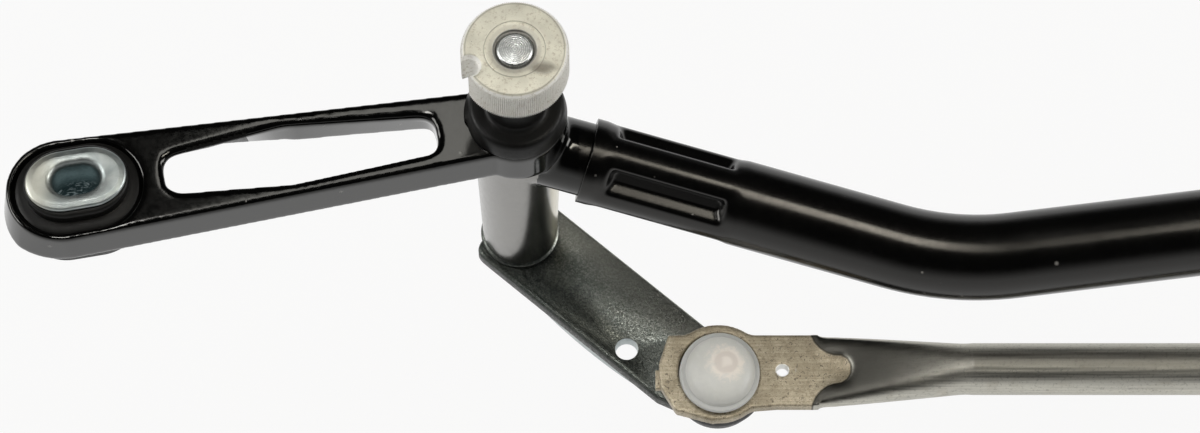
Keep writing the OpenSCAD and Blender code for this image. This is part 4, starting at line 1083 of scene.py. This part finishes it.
def platePiece(outerRings, holes, top, foot):
    bm = bmesh.new()
    topEdges, footEdges = growRings(bm, outerRings)
    for spot, radius, count in holes:
        shape = [(radius + 0.3, top), (radius + 0.08, top - 0.12), (radius, top - 0.4), (radius, foot + 0.2),
                 (radius + 0.15, foot)]
        rings = [[(x + spot[0], y + spot[1], z) for x, y, z in plainRing(r, level, count)] for r, level in shape]
        first, last = growRings(bm, rings)
        topEdges += first
        footEdges += last
    bmesh.ops.triangle_fill(bm, use_beauty=True, edges=topEdges, normal=(0, 0, 1))
    bmesh.ops.triangle_fill(bm, use_beauty=True, edges=footEdges, normal=(0, 0, -1))
    return bm


def edgeRoll(ringAt, top, foot, roll, burr):
    steps = [(roll, top), (roll * 0.62, top - 0.06), (roll * 0.3, top - roll * 0.28), (roll * 0.08, top - roll * 0.62),
             (0, top - roll), (0, foot + burr), (burr * 0.3, foot + burr * 0.3), (burr, foot)]
    return [ringAt(inset, level) for inset, level in steps]


def leverLip(bm):
    s = lever
    rise = s["lipDepth"] + s["lipRoot"]
    radius = (s["lipLength"] ** 2 / 4 + rise * rise) / (2 * rise)
    reach = math.asin(s["lipLength"] / 2 / radius)
    lip = bmesh.new()
    arc = []
    for step in range(41):
        turn = reach * (step / 20 - 1)
        level = radius - s["lipDepth"] - radius * math.cos(turn)
        arc.append(lip.verts.new((radius * math.sin(turn) * mm, 0, level * mm)))
    wall = bmesh.ops.extrude_face_region(lip, geom=[lip.faces.new(arc)])["geom"]
    bmesh.ops.translate(lip, verts=vertsIn(wall), vec=(0, s["lipWall"] * mm, 0))
    bmesh.ops.recalc_face_normals(lip, faces=lip.faces)
    rim = [edge for edge in lip.edges if edge.calc_face_angle(0) > 1.2]
    bmesh.ops.bevel(lip, geom=rim, offset=s["lipEdge"] * mm, affect="EDGES", segments=3, profile=0.5, material=-1)
    bmesh.ops.translate(lip, verts=lip.verts,
                        vec=(s["reach"] / 2 * mm, (-s["halfWidth"] + s["lipInset"]) * mm, s["foot"] * mm))
    turnAbout(lip, s["angle"])
    for face in lip.faces:
        face.material_index = 1
    joinInto(bm, lip)


def makeLevers():
    s = lever
    pivot = Vector((0, 0))
    ball, drive = polar(s["reach"], s["angle"]), polar(s["driveReach"], s["driveAngle"])
    tool, driveTool = (Matrix.Rotation(math.radians(s[angle]), 2) @ Vector((s["toolAlong"], s["toolAside"]))
                       for angle in ("angle", "driveAngle"))
    leftHoles = [(pivot, s["shaftHole"], 48), (ball, s["studHole"], 40), (tool, s["toolHole"], 48)]
    rightHoles = leftHoles + [(drive, s["studHole"], 40), (driveTool, s["toolHole"], 48)]
    for (side, x), path, holes in zip(sides, ([pivot, ball], [drive, pivot, ball]), (leftHoles, rightHoles)):
        rings = edgeRoll(lambda inset, level: leverRing(path, inset, level), s["top"], s["foot"], s["roll"], s["burr"])
        bm = platePiece(rings, holes, s["top"], s["foot"])
        for face in bm.faces:  # bright walls of the holes
            middle = face.calc_center_median() / mm
            gap = min((middle.xy - spot).length - radius for spot, radius, _ in holes)
            if abs(face.normal.z) < 0.5 and gap < 0.2:
                face.material_index = 1
        leverLip(bm)
        bmesh.ops.translate(bm, verts=bm.verts, vec=(x, 0, 0))
        addPiece(side + "Lever", bm, side + "_pivot", ("leverPlate", "zincPlate"), [side + "_lever"],
                 sharp=32)
    print("levers made")


# rods: pressed ends taken from the solid, joined by a drawn tube
rod = {"voxel": 0.32, "softPasses": 2, "cut": 54.5, "rampStart": 21.0, "rampPasses": 60, "rampFade": 22,
       "eyeGrow": 0.07, "eyeReach": 12.2, "eyeFade": 7, "hole": (13.5, 1.32, 1.7), "holeSlack": 0.08, "holeMark": 9.0,
       "tab": (-12.35, -1.65, -72.95), "tabSize": (2.0, 4.3, 1.3), "tabEdge": 0.2, "driveLength": 0.15,
       "coinSpan": (16, 32), "coinFar": 4.0,
       "coin": ((9.9, 19.5), (7.7, 19.8), (6.15, 20.5), (4.8, 21.6), (3.8, 23.0), (3.35, 24.3), (3.15, 26.0),
                (2.35, 27.2), (1.1, 27.9), (0.0, 28.0))}  # aside and along, the edge of the brown flat


def coinGap(along, aside):
    spot = Vector((along, abs(aside)))
    low, high = rod["coinSpan"]
    if not low < along < high:
        return rod["coinFar"] if along <= low else -rod["coinFar"]
    line = [Vector((x, y)) for y, x in rod["coin"]]
    gaps = []
    for first, last in zip(line, line[1:]):
        run = last - first
        gaps.append((spot - first - run * clamped((spot - first).dot(run) / run.length_squared)).length)
    return min(gaps) if along < alongLine(rod["coin"][::-1], spot.y) else -min(gaps)


def rodEnd():
    ball = middleOf("cross_rod_left_socket")
    end = castCopy("cross_rod", rod["voxel"], rod["softPasses"])
    bmesh.ops.bisect_plane(end, geom=end.verts[:] + end.edges[:] + end.faces[:],
                           plane_co=(ball.x + rod["cut"] * mm, 0, 0), plane_no=(1, 0, 0), clear_outer=True)
    bmesh.ops.translate(end, verts=end.verts, vec=(-ball.x, -ball.y, 0))
    rampEnd = (rod["cut"] - 1) * mm
    relax(end, [vert for vert in end.verts if rod["rampStart"] * mm < vert.co.x < rampEnd], rod["rampPasses"])
    middle, radius, rim = (value * mm for value in rod["hole"])
    for vert in end.verts:
        if vert.co.y < 0:
            vert.co.y *= 1 + rod["eyeGrow"] * clamped((rod["eyeReach"] - vert.co.x / mm) / rod["eyeFade"])
        reach = math.hypot(vert.co.x - middle, vert.co.y)
        if 0 < reach < rim:  # the hole stays round
            vert.co.x, vert.co.y = middle + (vert.co.x - middle) * radius / reach, vert.co.y * radius / reach
    block = Matrix.Translation(Vector(rod["tab"]) * mm) @ Matrix.Diagonal([*(Vector(rod["tabSize"]) * mm), 1])
    tab = bmesh.ops.create_cube(end, size=1, matrix=block)["verts"]
    bmesh.ops.bevel(end, geom=list({line for vert in tab for line in vert.link_edges}), offset=rod["tabEdge"] * mm,
                    affect="EDGES", segments=2, profile=0.5, material=-1)
    pattern = bpy.data.meshes.new("rodEnd")
    end.to_mesh(pattern)
    end.free()
    return pattern


def makeRods():
    pattern = rodEnd()
    for name, node, socket, length in (("crossRod", "cross_rod", "cross_rod_left_socket", pivotGap),
                                       ("driveRod", "drive_rod", "drive_rod_crank_socket", rod["driveLength"])):
        spot = middleOf(socket)
        bm = bmesh.new()
        bm.from_mesh(pattern)
        near = [edge for edge in bm.edges if edge.is_boundary]
        kept = set(bm.verts)
        bm.from_mesh(pattern)
        fresh = [vert for vert in bm.verts if vert not in kept]
        freshSet = set(fresh)
        bmesh.ops.scale(bm, verts=fresh, vec=(-1, 1, 1))
        bmesh.ops.translate(bm, verts=fresh, vec=(length, 0, 0))
        bmesh.ops.reverse_faces(bm, faces=[face for face in bm.faces if face.verts[0] in freshSet])
        far = [edge for edge in bm.edges if edge.is_boundary and edge.verts[0] in freshSet]
        bmesh.ops.bridge_loops(bm, edges=near + far)
        bmesh.ops.translate(bm, verts=bm.verts, vec=(spot.x, spot.y, 0))
        piece = addPiece(name, bm, node, "rodSteel", [node], sharp=50)
        coin = piece.data.attributes.new("coin", "FLOAT", "POINT")
        pressed = piece.data.attributes.new("pressed", "FLOAT", "POINT")
        for vert in piece.data.vertices:
            along = min(vert.co.x - spot.x, spot.x + length - vert.co.x) / mm
            aside = (vert.co.y - spot.y) / mm
            drilled = math.hypot(along - rod["hole"][0], aside) < rod["hole"][1] + rod["holeSlack"]
            coin.data[vert.index].value = rod["holeMark"] if drilled else coinGap(along, aside)
            fade = clamped((rod["cut"] - 1.5 - along) / rod["rampFade"])
            pressed.data[vert.index].value = fade * fade * (3 - 2 * fade)
    bpy.data.meshes.remove(pattern)
    print("rods made")


# ball joints: studs, nylon sockets and dust boots
ballJoint = {"ball": -75.4, "ballRadius": 6.5, "room": 6.55, "flatTop": -71.1, "flatFoot": -73.7, "socketTop": -66.2,
             "socketRadius": 8.45, "domeRadius": 7.2, "domeShift": -1.2, "domeLean": 0.15, "domeStretch": 0.07,
             "domeFrom": 2.4, "flangeFrom": 7, "collar": 9.05, "skirtRadius": 8.05, "skirt": -77.9, "leverTop": -83.9,
             "leverFoot": -87.4, "bootFoot": -83.5, "gateRadius": 4.3, "gatePlace": (1.5, -0.1), "gateFrom": 2.2,
             "gateFar": 6.0}


def ballArc(radius, start, sweep, steps):
    angles = [math.radians(start + step * sweep / steps) for step in range(steps)]
    arc = [(radius * math.cos(angle), ballJoint["ball"] + radius * math.sin(angle)) for angle in angles]
    return arc + [(0, ballJoint["ball"] + radius)]


def makeBallJoints():
    j = ballJoint
    foot, plate, top, flat, under = j["leverFoot"], j["leverTop"], j["socketTop"], j["flatTop"], j["flatFoot"]
    dome, wide, collar, tail, skirt = j["domeRadius"], j["socketRadius"], j["collar"], j["skirtRadius"], j["skirt"]
    stud = softened([(0, foot - 1.8, 0), (3.4, foot - 1.7, 0.8), (4.8, foot - 0.9, 0.5), (4.8, foot, 0.2),
                     (3.0, foot, 0), (3.0, plate, 0), (6.0, plate, 0.2), (6.0, plate + 1.5, 0.4), (3.6, plate + 1.6, 0.4)])
    stud += ballArc(j["ballRadius"], -56, 146, 28)
    socket = softened([(0, top, 0), (4.0, top - 0.15, 2.2), (6.3, top - 0.95, 1.4), (dome, top - 2.1, 0.8),
                       (dome + 0.1, flat + 2.3, 0.12), (dome + 0.3, flat + 2.05, 0.12), (wide, flat + 1.9, 0.45),
                       (wide, under, 0), (collar, under, 0.2), (collar, under - 1.4, 0.3), (tail, under - 1.4, 0.2),
                       (tail, skirt, 0.4), (6.3, skirt, 0.2)], steps=6)
    socket += ballArc(j["room"], -22, 112, 20)
    boot = softened([(9.15, under, 0.2), (10.0, under, 0.4), (10.3, under - 0.7, 0.7), (10.3, skirt - 0.2, 1.6),
                     (9.2, -80.4, 0.8), (9.0, -81.6, 0.7), (8.5, j["bootFoot"], 0.8), (6.4, j["bootFoot"], 0.2),
                     (6.4, j["bootFoot"] + 1.2, 0.3), (9.15, skirt - 0.4, 1.0)], steps=5)
    for name, node, body in (("leftBallStud", "left_ball_stud", "left_pivot"),
                             ("rightBallStud", "right_ball_stud", "right_pivot"),
                             ("driveBallStud", "drive_ball_stud", "right_pivot")):
        addPiece(name, turned(stud, middleOf(node), 80), body, "brightSteel", [node])
    for start, body, ends in (("crossRod", "cross_rod", ("left", "right")),
                              ("driveRod", "drive_rod", ("lever", "crank"))):
        for end in ends:
            spot = middleOf(body + "_" + end + "_socket")
            bm = turned(socket, spot, 96)
            for vert in bm.verts:  # the cross rod's domes sit a little askew in its eyes
                rise = vert.co.z / mm - flat
                reach = math.hypot(vert.co.x - spot.x, vert.co.y - spot.y)
                onDome = rise > j["domeFrom"] or reach > j["flangeFrom"] * mm
                if start == "crossRod" and rise > -0.1 and onDome:
                    vert.co.y += (vert.co.y - spot.y) * j["domeStretch"] + j["domeShift"] * mm
                    vert.co.x += j["domeLean"] * rise * mm
            name = start + end.title()
            piece = addPiece(name + "Socket", bm, body, "milkyNylon", [body + "_" + end + "_socket"])
            gate = piece.data.attributes.new("gate", "FLOAT", "POINT")
            x, y = spot.x + j["gatePlace"][0] * mm, spot.y + j["gatePlace"][1] * mm
            for vert in piece.data.vertices:
                reach = math.hypot(vert.co.x - x, vert.co.y - y) / (j["gateRadius"] * mm)
                gate.data[vert.index].value = reach if vert.co.z > (flat + j["gateFrom"]) * mm else j["gateFar"]
            addPiece(name + "Boot", turned(boot, spot, 96, closed=True), body, "bootRubber",
                     [body + "_" + end + "_boot"], sharp=50)
    print("ball joints made")


# motor bracket: a plate under the tube, two straps with rivets, and its own rubber mount
bracket = {"plateTop": -58.7, "plateFoot": -61.2, "roll": 0.7, "burr": 0.3, "corner": 8.0, "motor": (350, 32.428),
           "motorHole": 14.0, "pitchRadius": 32.0, "boltHole": 3.3, "boltTurns": (90, 210, 330), "foot": (350, 94.428),
           "footRim": 14.0, "footHole": 8.0, "strapAngle": -7.337, "strapBase": (350, -13.575), "strapPitch": 60,
           "rivetAside": 17.3, "rivetHole": 2.5, "strapWidth": 14.0, "strapWall": 1.8, "strapFoot": 13.0,
           "strapEdge": 0.35, "strapGap": 0.02, "tubeRadius": 9.0, "axis": -49.7}


def bracketOutline(rivets, inset, level):
    b = bracket
    cloud = []
    for spot, radius in [(spot, b["corner"]) for spot in rivets] + [
            (Vector(b["motor"]), b["pitchRadius"] + b["corner"]), (Vector(b["foot"]), b["footRim"])]:
        cloud += [spot + Vector((x, y)) for x, y, _ in plainRing(radius, 0, 72)]
    hull = [cloud[k] for k in convex_hull_2d(cloud)]
    inner = []
    for before, at, after in zip(hull[-1:] + hull[:-1], hull, hull[1:] + hull[:1]):
        along = (after - before).normalized()
        point = at + Vector((-along.y, along.x)) * inset
        inner.append((point.x, point.y, level))
    return inner


def makeStraps():
    b = bracket
    bm = bmesh.new()
    reach = b["tubeRadius"] + b["strapGap"]
    low, bend = b["plateTop"] - b["axis"], reach + b["strapWall"]
    run = [(-bend - b["strapFoot"], low), (-bend - 1.2, low), (-reach - 0.4, low + 0.5), (-reach, low + 2.2)]
    arc = [(-reach * math.cos(math.pi * step / 32), reach * math.sin(math.pi * step / 32)) for step in range(33)]
    line = run + arc + [(-x, z) for x, z in run[::-1]]
    for along in (-1, 1):
        x = (along * b["strapPitch"] - b["strapWidth"]) / 2 * mm
        chain = [bm.verts.new((x, y * mm, z * mm)) for y, z in line]
        links = [bm.edges.new(pair) for pair in zip(chain, chain[1:])]
        sheet = bmesh.ops.extrude_edge_only(bm, edges=links)["geom"]
        bmesh.ops.translate(bm, verts=vertsIn(sheet), vec=(b["strapWidth"] * mm, 0, 0))
    bmesh.ops.recalc_face_normals(bm, faces=bm.faces)
    if any(face.normal.z < -0.5 for face in bm.faces):
        bmesh.ops.reverse_faces(bm, faces=bm.faces)
    turnAbout(bm, b["strapAngle"])
    bmesh.ops.translate(bm, verts=bm.verts, vec=[value * mm for value in (*b["strapBase"], b["axis"])])
    straps = addPiece("bracketStraps", bm, "frame", "zincPlate", ["bracket_straps"], outward=False)
    addWall(straps, b["strapWall"], 1)
    soft = straps.modifiers.new("soft", "BEVEL")
    soft.width = b["strapEdge"] * mm
    soft.segments = 3


def makeBracket():
    b = bracket
    turn = Matrix.Rotation(math.radians(b["strapAngle"]), 2)
    rivets = [Vector(b["strapBase"]) + turn @ Vector((along * b["strapPitch"] / 2, aside * b["rivetAside"]))
              for along in (-1, 1) for aside in (-1, 1)]
    motor, foot = Vector(b["motor"]), Vector(b["foot"])
    top, low = b["plateTop"], b["plateFoot"]
    rings = edgeRoll(lambda inset, level: bracketOutline(rivets, inset, level), top, low, b["roll"], b["burr"])
    holes = [(motor, b["motorHole"], 96), (foot, b["footHole"], 64)]
    holes += [(motor + polar(b["pitchRadius"], angle), b["boltHole"], 48) for angle in b["boltTurns"]]
    holes += [(spot, b["rivetHole"], 32) for spot in rivets]
    addPiece("motorBracket", platePiece(rings, holes, top, low), "frame", "blackPaint",
             ["motor_bracket"], sharp=32)
    makeStraps()

    seat = top + b["strapWall"]
    rivet = softened([(0, seat + 1.6, 0), (2.2, seat + 1.5, 0.8), (4.2, seat + 0.6, 0.6), (4.25, seat, 0.1),
                      (2.5, seat, 0), (2.5, low, 0), (4.25, low, 0.1), (4.1, low - 0.8, 0.5), (2.4, low - 1.6, 0.8),
                      (0, low - 1.6, 0)])
    bm = bmesh.new()
    for spot in rivets:
        joinInto(bm, turned(rivet, spot * mm, 48))
    addPiece("strapRivets", bm, "frame", "brightSteel", ["strap_rivets"])

    cushion = softened([(4.6, top + 3.2, 0.1), (10.2, top + 3.2, 0.6), (11, top + 2.2, 0.8), (11, top, 0.2),
                        (8, top, 0), (8, low, 0), (11, low, 0.2), (11, low - 2.2, 0.8), (10.2, low - 3.2, 0.6),
                        (4.6, low - 3.2, 0.1)])
    sleeve = softened([(4.6, low - 3.8, 0.2), (4.6, top + 3.2, 0.1), (9.5, top + 3.2, 0.3), (9.5, top + 4.5, 0.5),
                       (4.6, top + 4.5, 0.8), (3.5, top + 4.0, 0.6), (3.3, top + 2.8, 0.6), (3.3, low - 3.8, 0.2)])
    addPiece("bracketMountRubber", turned(cushion, foot * mm, 96, closed=True), "frame", "mattRubber",
             ["bracket_mount_grommet"])
    addPiece("bracketMountSleeve", turned(sleeve, foot * mm, 96, closed=True), "frame", "zincPlate",
             ["bracket_mount_sleeve"])
    print("motor bracket made")


# inner pieces that keep their solids
kept = {"bushBronze": ("left_upper_bush", "left_lower_bush", "right_upper_bush", "right_lower_bush"),
        "brightSteel": ("left_retaining_ring", "right_retaining_ring", "left_thrust_washer", "right_thrust_washer")}


def dressKept():
    for finish, names in kept.items():
        for name in names:
            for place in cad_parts[name].material_slots:
                place.material = bpy.data.materials[finish]
    print("kept solids dressed")


setStage()
makeEffects()
for makeFinish in (makePaint, makeBarrelSteel, makeCastZinc, makeBareSteels, makeZincs, makeLeverPlate, makeRodSteel,
                   makeRubbers, makeNylon, makeBronze):
    makeFinish()
print("finishes ready")
for makePieces in (makeHousings, makeTube, makeHeads, makeShafts, makeSeals, makeMounts, makeLevers, makeRods,
                   makeBallJoints, makeBracket, dressKept):
    makePieces()
